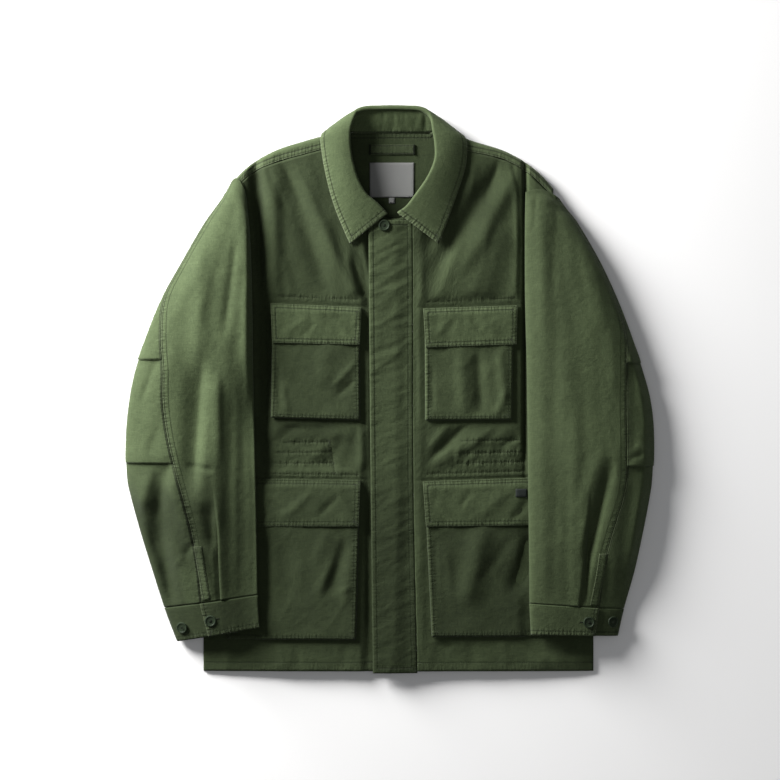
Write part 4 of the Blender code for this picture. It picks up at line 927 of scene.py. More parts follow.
BAG_FOLDS = {
    "chest_pocket_right": creases(
        (326, 345, 324, 386, 1.2, 12), (290, 372, 332, 414, -0.9, 9), (358, 360, 332, 388, 1.2, 4),
        (357, 378, 336, 397, -1.2, 4), (282, 380, 288, 416, 1, 5), (276, 360, 280, 412, -1.2, 5),
    ),
    "chest_pocket_left": creases(
        (477, 350, 481, 414, -2.4, 8), (499, 350, 506, 406, 1.4, 7), (461, 350, 464, 414, 1.6, 9),
        (508, 388, 494, 420, 1.4, 6), (430, 360, 432, 412, -1, 5),
    ),
    "lower_pocket_right": creases(
        (346, 540, 328, 594, -2.6, 9, 0.2), (330, 530, 312, 566, 0.9, 9), (354, 560, 343, 606, 1, 7),
        (333, 560, 318, 596, 1.2, 6), (266, 535, 268, 612, -2, 8), (284, 540, 290, 600, -1.2, 14),
        (312, 548, 306, 604, -0.5, 10), (358, 585, 340, 592, 0.9, 3.5),
    ),
    "lower_pocket_left": creases(
        (484, 524, 466, 608, 3.8, 16), (534, 536, 514, 594, -4.4, 12), (516, 534, 476, 584, -0.8, 7),
        (434, 540, 436, 606, -0.9, 4), (446, 548, 452, 600, 0.8, 6),
    ),
}
FLAP_FOLDS = {
    "chest_pocket_right": creases(
        (284, 336, 306, 318, 1.1, 5), (322, 312, 344, 336, -1.2, 5), (300, 338, 316, 322, -0.9, 4),
    ),
    "chest_pocket_left": creases(
        (470, 318, 488, 338, -1.2, 4), (478, 314, 498, 336, 1.1, 5), (436, 336, 452, 316, 0.9, 5),
    ),
    "lower_pocket_right": creases(
        (284, 518, 314, 490, 1.4, 6), (318, 516, 340, 494, -1.4, 5), (336, 488, 352, 512, 1, 5),
        (266, 500, 284, 512, -1, 5),
    ),
    "lower_pocket_left": creases(
        (460, 507, 472, 490, -1.4, 4), (478, 516, 506, 492, 1.2, 7), (512, 521, 530, 498, -1.8, 6),
        (436, 500, 452, 516, 0.9, 5),
    ),
}
# The lower pockets dip where they run under a sleeve's inner edge
BAG_GAPS = creases((260.5, 476, 262, 640, -0.8, 5))


def rough(kind, x, y, shift, *rows):
    """A sum of noise. Each row is its height, stretch along x and y, size, and seed before shift."""
    return sum(high * kind(x * along, y * up, size, seed + shift) for high, along, up, size, seed in rows)


def front_relief(side, x, y):
    """Finer folds of a front, its crumple, and the gathered casing at the waist."""
    free = folds_free(x, y, 9.0)
    fine = fold_height(FINE_FRONT[side], x, y)
    fine = fine + rough(wander, x, y, side, (0.9, 1.3, 0.6, 64, 3), (0.26, 1, 0.7, 26, 5))
    fine = fine + rough(ridges, x, y, side, (0.40, 1, 0.7, 48, 7))
    small = rough(wander, x, y, side, (0.16, 1, 1, 13, 9), (0.05, 1, 1, 7, 10))
    return free * fine + small + fold_height(GAPS[side], x, y) + casing_relief(side, x, y)


# Rows of stitching on a front: the waist casing's and the ones above the pocket flaps. gather is how far the
# cloth puckers along the row.
Row = namedtuple("Row", "side x0 y0 x1 y1 gather")


def row_table(*rows):
    return [Row(row[0], *place(*row[1:3]), *place(*row[3:5]), row[5]) for row in rows]


ROWS = row_table(
    (RIGHT, 282, 442.5, 330, 442, 1), (RIGHT, 276, 453, 331, 452, 0.6),
    (RIGHT, 274, 463.5, 334, 463, 1), (RIGHT, 330, 441, 335, 474, 0.35),
    (RIGHT, 263, 473.5, 359, 475, 0.7), (RIGHT, 277, 296, 359, 299.5, 0.7),
    (LEFT, 461, 441, 524, 440, 0.8), (LEFT, 455, 453.5, 525, 452, 1.6),
    (LEFT, 456, 463.5, 525, 461.5, 1.4), (LEFT, 426, 474, 525, 471, 0.7),
    (LEFT, 426, 302, 516, 298, 0.6),
)


def rows_of(side):
    return [line for line in ROWS if line.side == side]


def casing_relief(side, x, y):
    """The groove above each flap, the rows of stitching, and the crumple between the waist's rows."""
    total = np.zeros(np.broadcast(x, y).shape)
    for pocket in POCKETS:
        if pocket.side == side:
            (x0, y0), (x1, y1) = pocket.flap[:2]
            total += fold_height([Fold(x0 - 9, y0 + 1.6, x1 + 9, y1 + 1.6, -1.5, 2.0)], x, y)
    for line in rows_of(side):
        along, across, long = beside(line, x, y)
        there = between(along, -2, 3, long - 3, long + 2)
        shift = ROWS.index(line)
        gather = rough(wander, along, across, shift, (1, 1, 0.25, 4.2, 50), (0.4, 1, 0.3, 11.0, 70))
        puckers = 0.75 * line.gather * gather * np.exp(-((across / 4.4) ** 2))
        total += there * (puckers - 0.45 * np.exp(-((across / 1.9) ** 2)))
    crowd = between(y, -118.0, -104.0, -78.0, -62.0) * ease(np.abs(x), 50.0, 95.0)
    fine = rough(wander, x, y, 0, (0.5, 1, 1, 8.5, 91), (0.3, 0.7, 1, 5.0, 93))
    return total + crowd * (fine + 0.7 * ridges(x * 0.6, y + 0.5 * x, 15, 92) - 0.3)


def sleeve_relief(side, t, a, x, y):
    inland = ease(np.minimum(2 * a, 1 - a), 0.0, 0.10)
    fine = fold_height(FINE_SLEEVE[side], x, y)
    fine = fine + rough(wander, x, y, side, (0.9, 1.2, 0.5, 60, 13), (0.22, 1, 0.6, 25, 15))
    fine = fine + rough(wander, x, y, side, (0.14, 1, 1, 13, 18))
    fine = fine + rough(ridges, x, y, side, (0.32, 1, 0.7, 44, 17))
    quiet = 1 - 0.80 * ease(t, CUFF_SEAM - 0.25, CUFF_SEAM)
    return inland * quiet * fine


def fly_relief(x, y):
    """Short slanting puckers across the fly."""
    slant = y - 0.40 * x
    low = 1 - ease(y, -60.0, 60.0)
    rolls = rough(wander, x, slant, 0, (0.66, 0.22, 1, 11, 21), (0.34, 0.4, 1, 5.5, 22)) * (1 - 0.45 * low)
    sharp = (0.40 - 0.12 * low) * ridges(x * 0.25, slant, 15, 24)
    inland = ease(fly_edges(y)[1] - x, 0.0, 9.0)
    return inland * (rolls + sharp) + 0.12 * wander(x, y, 15, 23)


def bag_relief(pocket, x, y, u, v):
    inland = ease(np.minimum(np.minimum(u, 1 - u), 1 - v), 0.0, 0.10)
    seed = POCKETS.index(pocket)
    soft = rough(wander, x, y, seed, (0.70, 1, 1, 34, 31), (0.18, 1, 1, 13, 36))
    soft = soft + rough(ridges, x, y, seed, (0.5, 1, 1, 30, 35))
    return inland * (soft + 1.35 * fold_height(BAG_FOLDS[pocket.name], x, y)) + fold_height(BAG_GAPS, x, y)


def flap_relief(pocket, x, y, u):
    seed = POCKETS.index(pocket)
    inland = ease(np.minimum(u, 1 - u), 0.0, 0.06)
    slant = y + 0.5 * x
    soft = rough(wander, x, slant, seed, (0.75, 0.8, 1, 22, 41))
    soft = soft + rough(wander, x, y, seed, (0.24, 1, 1, 12, 45))
    soft = soft + rough(ridges, x, slant, seed, (0.5, 1, 1, 26, 46))
    return inland * (soft + fold_height(FLAP_FOLDS[pocket.name], x, y)) + fold_height(BAG_GAPS, x, y)


# ---------------------------------------------------------------------------- cloth from a grid of points
FAR = 60.0  # distance that stands for no edge or row of stitching nearby
NO_ROW = 99.0  # inset of a row of stitching that a piece doesn't have
ALL_EDGES = ("left", "right", "top", "bottom")
ROUNDING = 1.1  # how far in from an edge it is rounded
LEAST_FLAT = 10.0


def lengths(points, axis):
    """Distance along the grid lines of one direction, from the first row or column."""
    steps = np.linalg.norm(np.diff(points, axis=axis), axis=-1)
    start = np.zeros_like(np.take(steps, [0], axis=axis))
    return np.concatenate([start, np.cumsum(steps, axis=axis)], axis=axis)


class Sheet:
    """A grid of points on the middle of a piece of cloth, with distances along it.

    Its outward side is the one that faces up at the shares r and c of its rows and columns.
    """

    def __init__(self, points, thick, r=0.5, c=0.5):
        self.points, self.thick = points, thick
        self.normals = unit(np.cross(np.gradient(points, axis=1), np.gradient(points, axis=0)) + 1e-12)
        tall, wide = points.shape[:2]
        self.flipped = self.normals[int(r * (tall - 1)), int(c * (wide - 1)), 2] < 0
        if self.flipped:
            self.normals = -self.normals
        self.across, self.down = lengths(points, 1), lengths(points, 0)

    def rim(self, edges):
        """Distance to the nearest of the named edges, and the way along that edge."""
        across, down = self.across, self.down
        choices = {
            "left": (across, down[:, :1]),
            "right": (across[:, -1:] - across, down[:, -1:]),
            "top": (down, across[:1]),
            "bottom": (down[-1:] - down, across[-1:]),
        }
        best, run = np.full(across.shape, FAR), np.zeros(across.shape)
        for edge in edges:
            far, along = choices[edge]
            nearer = far < best
            best, run = np.where(nearer, far, best), np.where(nearer, along, run)
        return best, run

    def line(self, edge, inset, start=0.0, end=0.0):
        """Points and normals of a line that stays inset from an edge, cut short at both ends."""
        layers, far = np.concatenate([self.points, self.normals], -1), self.across
        if edge in ("top", "bottom"):
            layers, far = layers.transpose(1, 0, 2), self.down.T
        if edge in ("right", "bottom"):
            layers, far = layers[:, ::-1], (far[:, -1:] - far)[:, ::-1]
        rows = np.array([[np.interp(inset, f, row[:, n]) for n in range(6)] for f, row in zip(far, layers)])
        run = lengths(rows[:, :3], 0)
        keep = (run >= start) & (run <= run[-1] - end)
        return rows[keep, :3], unit(rows[keep, 3:])


def new_mesh(name, points, faces, finish):
    """faces is an array of quads, or a list of faces of any size. finish is a material and its slot; the slot
    is not used.
    """
    material, slot = finish
    mesh = bpy.data.meshes.new(name)
    if isinstance(faces, np.ndarray):
        mesh.vertices.add(len(points))
        mesh.vertices.foreach_set("co", (points * MM).astype(np.float32).ravel())
        mesh.loops.add(faces.size)
        mesh.loops.foreach_set("vertex_index", faces.astype(np.int32).ravel())
        mesh.polygons.add(len(faces))
        mesh.polygons.foreach_set("loop_start", np.arange(0, faces.size, faces.shape[1], dtype=np.int32))
        mesh.update(calc_edges=True)
    else:
        mesh.from_pydata([tuple(p * MM) for p in points], [], faces)
    mesh.validate()
    mesh.shade_smooth()
    mesh.materials.append(material)
    made = bpy.data.objects.new(name, mesh)
    bpy.context.scene.collection.objects.link(made)
    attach(made, "root")
    return made


def cloth(name, sheet, finish, edges, stitch=(6.5, NO_ROW), pucker=1.0, pale=1.0, soften=0.45,
          painted_shading=0.0, rows=None):
    """A closed wall about the sheet, with its seam distances and its weave's coordinates stored on it.

    Two rows of stitching run along the named edges, at the insets in stitch; rows is what beside_rows gives.
    pucker and pale are how far those edges gather and are rubbed, soften is how round they are, and the
    second last argument darkens its colour from 0 to 1 as painted light and shade.
    """
    points, normals, half = sheet.points, sheet.normals, sheet.thick / 2
    tall, wide = points.shape[:2]
    rim, run = sheet.rim(edges)
    first = np.full(rim.shape, stitch[0])
    if rows is not None:
        far, along, gather = rows
        nearer = far < rim
        swaps = ((far, rim), (along, run), (0.0, first), (0.30 + 0.55 * gather, pucker), (1.0, pale))
        rim, run, first, pucker, pale = (np.where(nearer, new, old) for new, old in swaps)
    front = points + normals * (half - soften * np.exp(-rim / ROUNDING)[..., None])
    back = points - normals * half
    count = tall * wide
    index = np.arange(count).reshape(tall, wide)
    quads = np.stack([index[:-1, :-1], index[:-1, 1:], index[1:, 1:], index[1:, :-1]], -1).reshape(-1, 4)
    border = np.concatenate([index[0, :-1], index[:-1, -1], index[-1, :0:-1], index[:0:-1, 0]])
    after = np.roll(border, -1)
    walls = np.stack([after, border, border + count, after + count], -1)
    if sheet.flipped:
        quads, walls = quads[:, ::-1], walls[:, ::-1]
    faces = np.concatenate([quads, quads[:, ::-1] + count, walls])
    both = np.concatenate([front.reshape(-1, 3), back.reshape(-1, 3)])
    made = new_mesh(f"{name}_cloth", both, faces, finish)
    stored = {
        "weave": (sheet.across * MM, sheet.down[:, wide // 2, None] * MM, painted_shading),
        "seam": (rim, run, first),
        "trim": (stitch[1], pucker, pale),
    }
    for layer, values in stored.items():
        values = np.stack([np.broadcast_to(value, rim.shape) for value in values], -1).reshape(-1, 3)
        attribute = made.data.attributes.new(layer, "FLOAT_VECTOR", "POINT")
        attribute.data.foreach_set("vector", np.concatenate([values] * 2).astype(np.float32).ravel())
    flat = (max(float(size.max()), LEAST_FLAT) * MM for size in (sheet.across[:, -1], sheet.down[-1]))
    tuple(flat)
    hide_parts(name)


# ---------------------------------------------------------------------------- stitching
# Place of each ring along a stitch with its thickness there, and the turns of the points on it
RINGS = ((-0.5, 0.2), (-0.25, 0.95), (0.25, 0.95), (0.5, 0.2))
TURNS = (0.0, 1.05, 2.10, 3.14, 4.71)
SWAY_SEED = 12


class Stitches:
    """Rows of thread, gathered into one mesh."""

    def __init__(self):
        self.points, self.faces = [], []

    def stitch(self, middle, along, up, length, width, height):
        side = np.cross(up, along)
        base, around = len(self.points), len(TURNS)
        for share, swell in RINGS:
            centre = middle + along * length * share + up * height * (swell - 1.0) * 0.8
            for turn in TURNS:
                out = side * width * 0.5 * swell * math.cos(turn)
                self.points.append(centre + out + up * height * swell * math.sin(turn))
        last = base + around * (len(RINGS) - 1)
        for low in range(base, last, around):
            for n in range(around):
                m = (n + 1) % around
                self.faces.append((low + n, low + m, low + around + m, low + around + n))
        self.faces += [tuple(range(base + around - 1, base - 1, -1)), tuple(range(last, last + around))]

    def row(self, points, normals, lift, pitch=3.1, length=2.35, width=0.62, height=0.24, sway=0.0):
        """Stitches along a line of points, this far above them along the normals."""
        run = lengths(points, 0)
        for n in range(int(run[-1] / pitch)):
            at = (n + 0.5) * pitch
            middle, normal, ahead, behind = (
                np.array([np.interp(s, run, data[:, k]) for k in range(3)])
                for s, data in ((at, points), (at, normals), (at + 0.6, points), (at - 0.6, points))
            )
            along = unit(ahead - behind + 1e-9)
            normal = unit(normal - along * float((along * normal).sum()))
            wobble = float(wander(np.array(at), np.array(SWAY_SEED * 77.0), 9, SWAY_SEED)) * sway
            middle = middle + normal * lift + np.cross(normal, along) * wobble
            self.stitch(middle, along, normal, length, width, height)

    def edge(self, sheet, edge, inset, start=0.0, end=0.0, lift=0.05):
        """A row inside an edge of a sheet."""
        self.row(*sheet.line(edge, inset, start, end), sheet.thick / 2 + lift)

    def on(self, height, points, lift, sway=0.0):
        """A row between two points (x, y) of a surface that is given as a height."""
        count = max(int(math.dist(*points) / 1.2), 3)
        x, y = path_point(points, np.linspace(0, 1, count)).T
        slope_x = (height(x + 0.6, y) - height(x - 0.6, y)) / 1.2
        slope_y = (height(x, y + 0.6) - height(x, y - 0.6)) / 1.2
        normals = unit(np.stack([-slope_x, -slope_y, np.ones(count)], -1))
        self.row(grid_at(x, y, height(x, y)), normals, lift, sway=sway)

    def make(self, name, finish):
        new_mesh(name, np.array(self.points), self.faces, finish)


# ---------------------------------------------------------------------------- materials
class Nodes:
    """Short names for making and joining shader nodes."""

    def __init__(self, name):
        self.made = bpy.data.materials.new(name)
        self.made.use_nodes = True
        self.tree = self.made.node_tree

    def put(self, values, inputs):
        """Sets a node's inputs, by name or number, to plain values or joins them to other nodes."""
        for key, value in values.items():
            if isinstance(value, (int, float, tuple)):
                inputs[key].default_value = value
            else:
                self.tree.links.new(value, inputs[key])

    def node(self, kind, values, **settings):
        """The outputs of a new node."""
        node = self.tree.nodes.new(kind)
        for key, value in settings.items():
            setattr(node, key, value)
        self.put(values, node.inputs)
        return node.outputs

    def math(self, operation, *values):
        return self.node("ShaderNodeMath", dict(enumerate(values)), operation=operation)[0]

    def times(self, first, *others):
        for other in others:
            first = self.math("MULTIPLY", first, other)
        return first

    def add(self, *values):
        """The sum of values. A tuple stands for the product of what is in it."""
        values = [self.times(*value) if isinstance(value, tuple) else value for value in values]
        total = values[0]
        for value in values[1:]:
            total = self.math("ADD", total, value)
        return total

    def fade(self, value, start, end):
        """1 before start and 0 past end, smoothly."""
        values = dict(enumerate((value, start, end, 1.0, 0.0)))
        return self.node("ShaderNodeMapRange", values, interpolation_type="SMOOTHSTEP")[0]

    def attribute(self, name):
        outputs = self.node("ShaderNodeAttribute", {}, attribute_name=name, attribute_type="GEOMETRY")
        return self.node("ShaderNodeSeparateXYZ", {0: outputs["Vector"]})

    def weave(self):
        """Millimetres across and along the cloth, and how far its colour is darkened as painted light and
        shade.
        """
        across, along, painted_shading = self.attribute("weave")
        return self.times(across, 1000.0), self.times(along, 1000.0), painted_shading

    def on_object(self):
        return self.node("ShaderNodeTexCoord", {})["Object"]

    def vector(self, x, y, z):
        return self.node("ShaderNodeCombineXYZ", {0: x, 1: y, 2: z})[0]

    def noise(self, vector, scale, detail=2.0, rough=0.5):
        """Noise about 0. The vector may be x, y and a shift, with x and y each paired with its stretch."""
        if isinstance(vector, tuple):
            x, y, shift = vector
            vector = self.vector(self.times(*x), self.times(*y), shift)
        inputs = {"Vector": vector, "Scale": scale, "Detail": detail, "Roughness": rough}
        value = self.node("ShaderNodeTexNoise", inputs)["Fac"]
        return self.math("MULTIPLY", self.math("SUBTRACT", value, 0.5), 2.0)

    def blend(self, low, high, share, kind="MIX"):
        """From low to high. A plain colour is its red, green and blue."""
        low, high = (value + (1.0,) if isinstance(value, tuple) else value for value in (low, high))
        return self.node("ShaderNodeMix", {0: share, 6: low, 7: high}, data_type="RGBA", blend_type=kind)[2]

    def finish(self, base, rough, specular, height=None, **sheen):
        """The material, with height in millimetres as its relief."""
        inputs = {"Base Color": base, "Roughness": rough, "Specular IOR Level": specular}
        inputs |= {f"Sheen {key.title()}": value for key, value in sheen.items()}
        if height is not None:
            relief = {"Strength": 1.0, "Distance": MM, "Height": height}
            inputs["Normal"] = self.node("ShaderNodeBump", relief)[0]
        self.put(inputs, self.tree.nodes["Principled BSDF"].inputs)
        return self.made


OLIVE = (0.0512, 0.0718, 0.0300)
OLIVE_PALE = (0.104, 0.129, 0.070)
OLIVE_DEEP = (0.0305, 0.0450, 0.0170)
# Shares of the deep colour left where the painted shade is deepest, and in the stitched groove, which is
# painted shade too
PAINTED_SHADE_SHARE = (0.58, 0.59, 0.51)
GROOVE_PAINTED_SHADE = 0.35


def twill(name, middle=OLIVE, pale=OLIVE_PALE, deep=OLIVE_DEEP):
    """Cotton twill, coloured by garment dyeing: steep diagonal ribs, uneven yarn, puckered and rubbed along
    its seams.
    """
    n = Nodes(name)
    x, y, painted_shading = n.weave()
    rim, run, first = n.attribute("seam")
    second, pucker, rubbed = n.attribute("trim")
    plane = n.vector(x, y, 0.0)

    # ribs 0.9 mm apart, their yarn a little uneven
    uneven = n.noise(plane, 0.35)
    ribs = n.math("SINE", n.add((n.add(x, (y, 0.6)), 6.0), (uneven, 2.2)))
    yarn = n.noise(((x, 1.0), (y, 0.45), 0.0), 1.35, 3.0, 0.62)
    slub = n.noise(((x, 0.25), (y, 1.6), 3.0), 0.30)
    crumple = n.noise(plane, 0.14, 3.0, 0.55)
    warp = n.noise(((x, 0.75), (y, 0.10), 9.0), 1.0)
    weft = n.noise(((x, 0.10), (y, 0.75), 4.0), 1.0)
    woven = n.add(warp, weft)

    # along a seam the cloth puckers, sinks under the thread and swells between thread and edge
    inner = n.math("MINIMUM", first, 7.0)
    reach = n.add(inner, 7.0)
    near = n.fade(rim, 0.0, reach)
    strip = n.fade(rim, inner, reach)
    gather = n.noise(((run, 0.155), (rim, 0.05), 7.0), 1.0, 2.0, 0.6)
    small = n.noise(((run, 0.36), (rim, 0.10), 2.0), 1.0, 1.0)
    uneven = n.noise(n.vector(n.times(run, 0.07), 0.0, 5.0), 1.0, 1.0)
    ladder = n.math("SINE", n.add((run, 1.25), (uneven, 5.0)))
    puckers = n.times(pucker, n.add((near, gather, 0.80), (near, small, 0.25), (strip, ladder, 0.085)))
    off_first, off_second = (n.math("ABSOLUTE", n.math("SUBTRACT", rim, row)) for row in (first, second))
    sunk = n.add(n.fade(off_first, 0.0, 1.5), (n.fade(off_second, 0.0, 1.3), 0.7))
    swell = n.fade(rim, first, n.add(first, 0.8))
    height = n.add((ribs, 0.030), (yarn, 0.15), (slub, 0.03), (crumple, 0.34), (woven, 0.05), (puckers, 1.45),
                   (sunk, -0.38), (swell, 0.2))

    # colour: mottled unevenly, as garment dyeing leaves it, paler on ridges and edges; then painted light and
    # shade, and painted shade in the stitched groove
    cloud = n.noise(plane, 0.022, 3.0)
    patch = n.noise(plane, 0.09)
    tone = n.add(0.5, (cloud, 0.20), (patch, 0.22), (yarn, 0.64), (slub, 0.15), (woven, 0.30), (ribs, 0.08))
    base = n.blend(deep, tuple(2 * m - d for m, d in zip(middle, deep)), tone)
    edge = n.fade(rim, 0.2, 1.8)
    ridge = n.times(strip, n.math("MAXIMUM", n.add((gather, 0.8), (ladder, 0.25)), 0.0), 0.62)
    worn = n.times(rubbed, n.add((edge, 0.40), ridge, (n.fade(rim, first, n.add(first, 1.0)), 0.10)))
    base = n.blend(base, pale, n.math("MINIMUM", worn, 0.8))
    painted_shade_colour = tuple(k * d / m for k, d, m in zip(PAINTED_SHADE_SHARE, deep, middle))
    # painted light and shade: the colour is darkened by the share stored with the weave
    base = n.blend(base, painted_shade_colour, painted_shading, "MULTIPLY")
    # painted shade in the grooves sunk along the rows of stitching
    groove = tuple(GROOVE_PAINTED_SHADE * d for d in deep)
    base = n.blend(base, groove, n.math("MINIMUM", n.times(sunk, 0.80), 0.80))
    sheen = {"weight": 0.07, "roughness": 0.45, "tint": (0.90, 0.95, 0.90, 1.0)}
    return n.finish(base, n.add(0.86, (yarn, 0.05)), 0.22, height, **sheen)


def thread(name, colour):
    n = Nodes(name)
    tone = n.noise(n.on_object(), 900.0)
    low, high = (tuple(share * c for c in colour) for share in (0.7, 1.3))
    return n.finish(n.blend(low, high, n.add(0.5, (tone, 0.5))), 0.65, 0.1, n.times(tone, 0.06))


def woven_label(name):
    """Pale grey satin-woven label with fine ribs."""
    n = Nodes(name)
    x, y, _ = n.weave()
    rim = n.attribute("seam")[0]
    ribs = n.math("SINE", n.times(y, 9.0))
    speck = n.noise(((x, 1.0), (y, 2.4), 0.0), 1.1, 3.0, 0.6)
    cloud = n.noise(n.vector(x, y, 0.0), 0.06)
    tone = n.add(0.5, (speck, 0.30), (ribs, 0.10), (cloud, 0.12))
    base = n.blend((0.125, 0.128, 0.123), (0.215, 0.218, 0.212), tone)
    base = n.blend(base, (0.09, 0.093, 0.088), n.times(n.fade(rim, 0.0, 1.3), 0.5))
    height = n.add((ribs, 0.04), (speck, 0.05), (n.fade(rim, 0.0, 1.2), -0.3))
    return n.finish(base, 0.6, 0.5, height, weight=0.15)


def dark_tape(name):
    """Dense dark grey ribbon with fine cross ribs."""
    n = Nodes(name)
    x, y, _ = n.weave()
    ribs = n.math("SINE", n.times(x, 7.0))
    speck = n.noise(n.vector(x, y, 0.0), 1.5)
    base = n.blend((0.010, 0.013, 0.012), (0.026, 0.031, 0.028), n.add(0.5, (ribs, 0.25), (speck, 0.2)))
    return n.finish(base, 0.7, 0.12, n.add((ribs, 0.06), (speck, 0.03)))


def button_resin(name):
    """Dark green polyester resin, faintly marbled and satin."""
    n = Nodes(name)
    swirl = n.noise(n.on_object(), 160.0, 3.0, 0.6)
    fine = n.noise(n.on_object(), 900.0)
    base = n.blend((0.007, 0.012, 0.006), (0.024, 0.038, 0.018), n.add(0.45, (swirl, 0.45), (fine, 0.08)))
    return n.finish(base, n.add(0.60, (fine, 0.05)), 0.16, n.times(fine, 0.02))


def floor_paper(name):
    n = Nodes(name)
    grit = n.noise(n.on_object(), 420.0)
    return n.finish(n.blend((0.88, 0.88, 0.88), (0.90, 0.90, 0.90), n.add(0.5, (grit, 0.4))), 0.95, 0.0)


# Each finish is a material and its slot
OLIVE_SLOT, INSIDE_SLOT = "olive_twill", "olive_twill_inside"
INSIDE_COLOURS = (0.033, 0.046, 0.019), (0.068, 0.086, 0.044), (0.022, 0.032, 0.013)
# The collar stand's twill is paler than the olive cloth: painted light on the stand's inner face, which faces
# away from the lamp
STAND_PAINTED_LIGHT_COLOURS = (0.064, 0.089, 0.038), OLIVE_PALE, (0.038, 0.056, 0.022)
TWILL = twill("olive_twill_cloth"), OLIVE_SLOT
TWILL_INSIDE = twill("olive_twill_inner_face", *INSIDE_COLOURS), INSIDE_SLOT
TWILL_STAND_PAINTED_LIGHT = twill("olive_twill_collar_stand_painted_light", *STAND_PAINTED_LIGHT_COLOURS), OLIVE_SLOT
THREAD = thread("olive_thread", (0.026, 0.040, 0.014)), OLIVE_SLOT
DARK_THREAD = thread("dark_green_thread", (0.010, 0.014, 0.008)), OLIVE_SLOT
LABEL = woven_label("pale_grey_label"), "grey_label"
TAPE = dark_tape("dark_grey_tape"), "dark_tab"
RESIN = button_resin("dark_green_resin")


# ---------------------------------------------------------------------------- painted light and shade
# Painted light and shade on each piece, from 0 to 1: deepest on the right cuff, the fronts and the pocket
# bags, least on the sleeves and chest flaps
SLEEVE_PAINTED_SHADE = {RIGHT: 0.05, LEFT: 0.24}
CUFF_PAINTED_SHADE = {RIGHT: 1.0, LEFT: 0.54}
FRONT_PAINTED_SHADE = {RIGHT: 0.75, LEFT: 0.66}
# Of each pocket's bag and flap
POCKET_PAINTED_SHADE = {
    "chest_pocket_right": (0.80, 0.28),
    "chest_pocket_left": (0.52, 0.20),
    "lower_pocket_right": (0.92, 0.80),
    "lower_pocket_left": (0.97, 0.48),
}


def sleeve_painted_shading(side, points):
    """Painted light and shade: the right sleeve palest from shoulder to elbow, darkest on its wrist's outer
    edge.
    """
    x, y = plan(points)
    if side == LEFT:
        return SLEEVE_PAINTED_SHADE[side] + 0.20 * (1 - ease(x, 225.0, 285.0))
    strip = ease(x, -241.0, -229.0)
    forearm = 0.50 * ease(-y, 84.0, 120.0) + 0.38 * ease(-y, 120.0, 168.0) - 0.36 * ease(-y, 220.0, 262.0)
    forearm = forearm + 0.34 * hump(x + 0.1 * y, -326.0, 15.0) * ease(-y, 120.0, 150.0)
    edge = 0.40 * (1 - ease(x + 355.0 + 0.323 * (y + 155.0), 18.0, 42.0)) * ease(-y, 140.0, 185.0)
    shading = SLEEVE_PAINTED_SHADE[side] + mix(forearm, 0.42 * ease(-y, 90.0, 200.0), strip)
    return shading + 0.22 * strip * ease(-y, -40.0, 90.0) + edge


def front_painted_shading(side, points):
    """Painted shade and light: darkest in the gap beside the sleeve and just below the chest pocket."""
    x, y = plan(points)
    if side == RIGHT:
        # painted shadow just below the chest pocket
        patch = 0.24 * between(-y, 36.0, 42.0, 56.0, 84.0) * (1 - ease(x, -90.0, -60.0))
    else:
        # painted light and shade in patches on the left chest and shoulder
        patch = -0.26 * hump(x, 78.0, 26.0) * hump(y, 148.0, 36.0)
        patch = patch - 0.16 * hump(x, 170.0, 20.0) * ease(y, 110.0, 140.0)
        patch = patch - 0.45 * ease(x, 182.0, 190.0) * ease(y, 264.0, 276.0)
        patch = patch + 0.30 * hump(x, 124.0, 30.0) * hump(y, 258.0, 34.0)
    # painted shade in the gaps beside the fly and the sleeve
    in_gap = np.clip(-fold_height(GAPS[side], x, y) / 6.0, 0.0, 1.0)
    return np.clip(FRONT_PAINTED_SHADE[side] + patch + 0.34 * in_gap, 0.0, 1.0)


def beside_rows(side, points):
    """Distance to a front's nearest row of stitching, the way along it, and how far cloth puckers there."""
    x, y = plan(points)
    best = [np.full(x.shape, FAR), np.zeros(x.shape), np.zeros(x.shape)]
    for line in rows_of(side):
        along, across, long = beside(line, x, y)
        off = np.hypot(across, np.maximum(np.maximum(-along, along - long), 0.0) * 4)
        nearer = off < best[0]
        best = [np.where(nearer, new, old) for new, old in zip((off, along, line.gather), best)]
    return best


# ---------------------------------------------------------------------------- the pieces
sewing, sleeve_sewing, pocket_sewing, dark_sewing = Stitches(), Stitches(), Stitches(), Stitches()

cloth("back", Sheet(back_grid(), CLOTH), TWILL_INSIDE, ("bottom", "top"))

sheet = Sheet(yoke_grid(), CLOTH, r=1.0)
_, y, z = sheet.points.transpose(2, 0, 1)
# Inside the neck, the yoke's back part is darkened as painted shade
cloth("back_yoke", sheet, TWILL, ("bottom",), (7.0, 1.8), 0.8, 0.8,
      painted_shading=(z < 4.0) * mix(1.0, 0.75, ease(y, 255, 285)))
for inset in (1.8, 7.0):
    line, normals = sheet.line("bottom", inset)
    for keep in (line[:, 0] < -86, line[:, 0] > 88):
        sewing.row(line[keep], normals[keep], HALF + 0.05)

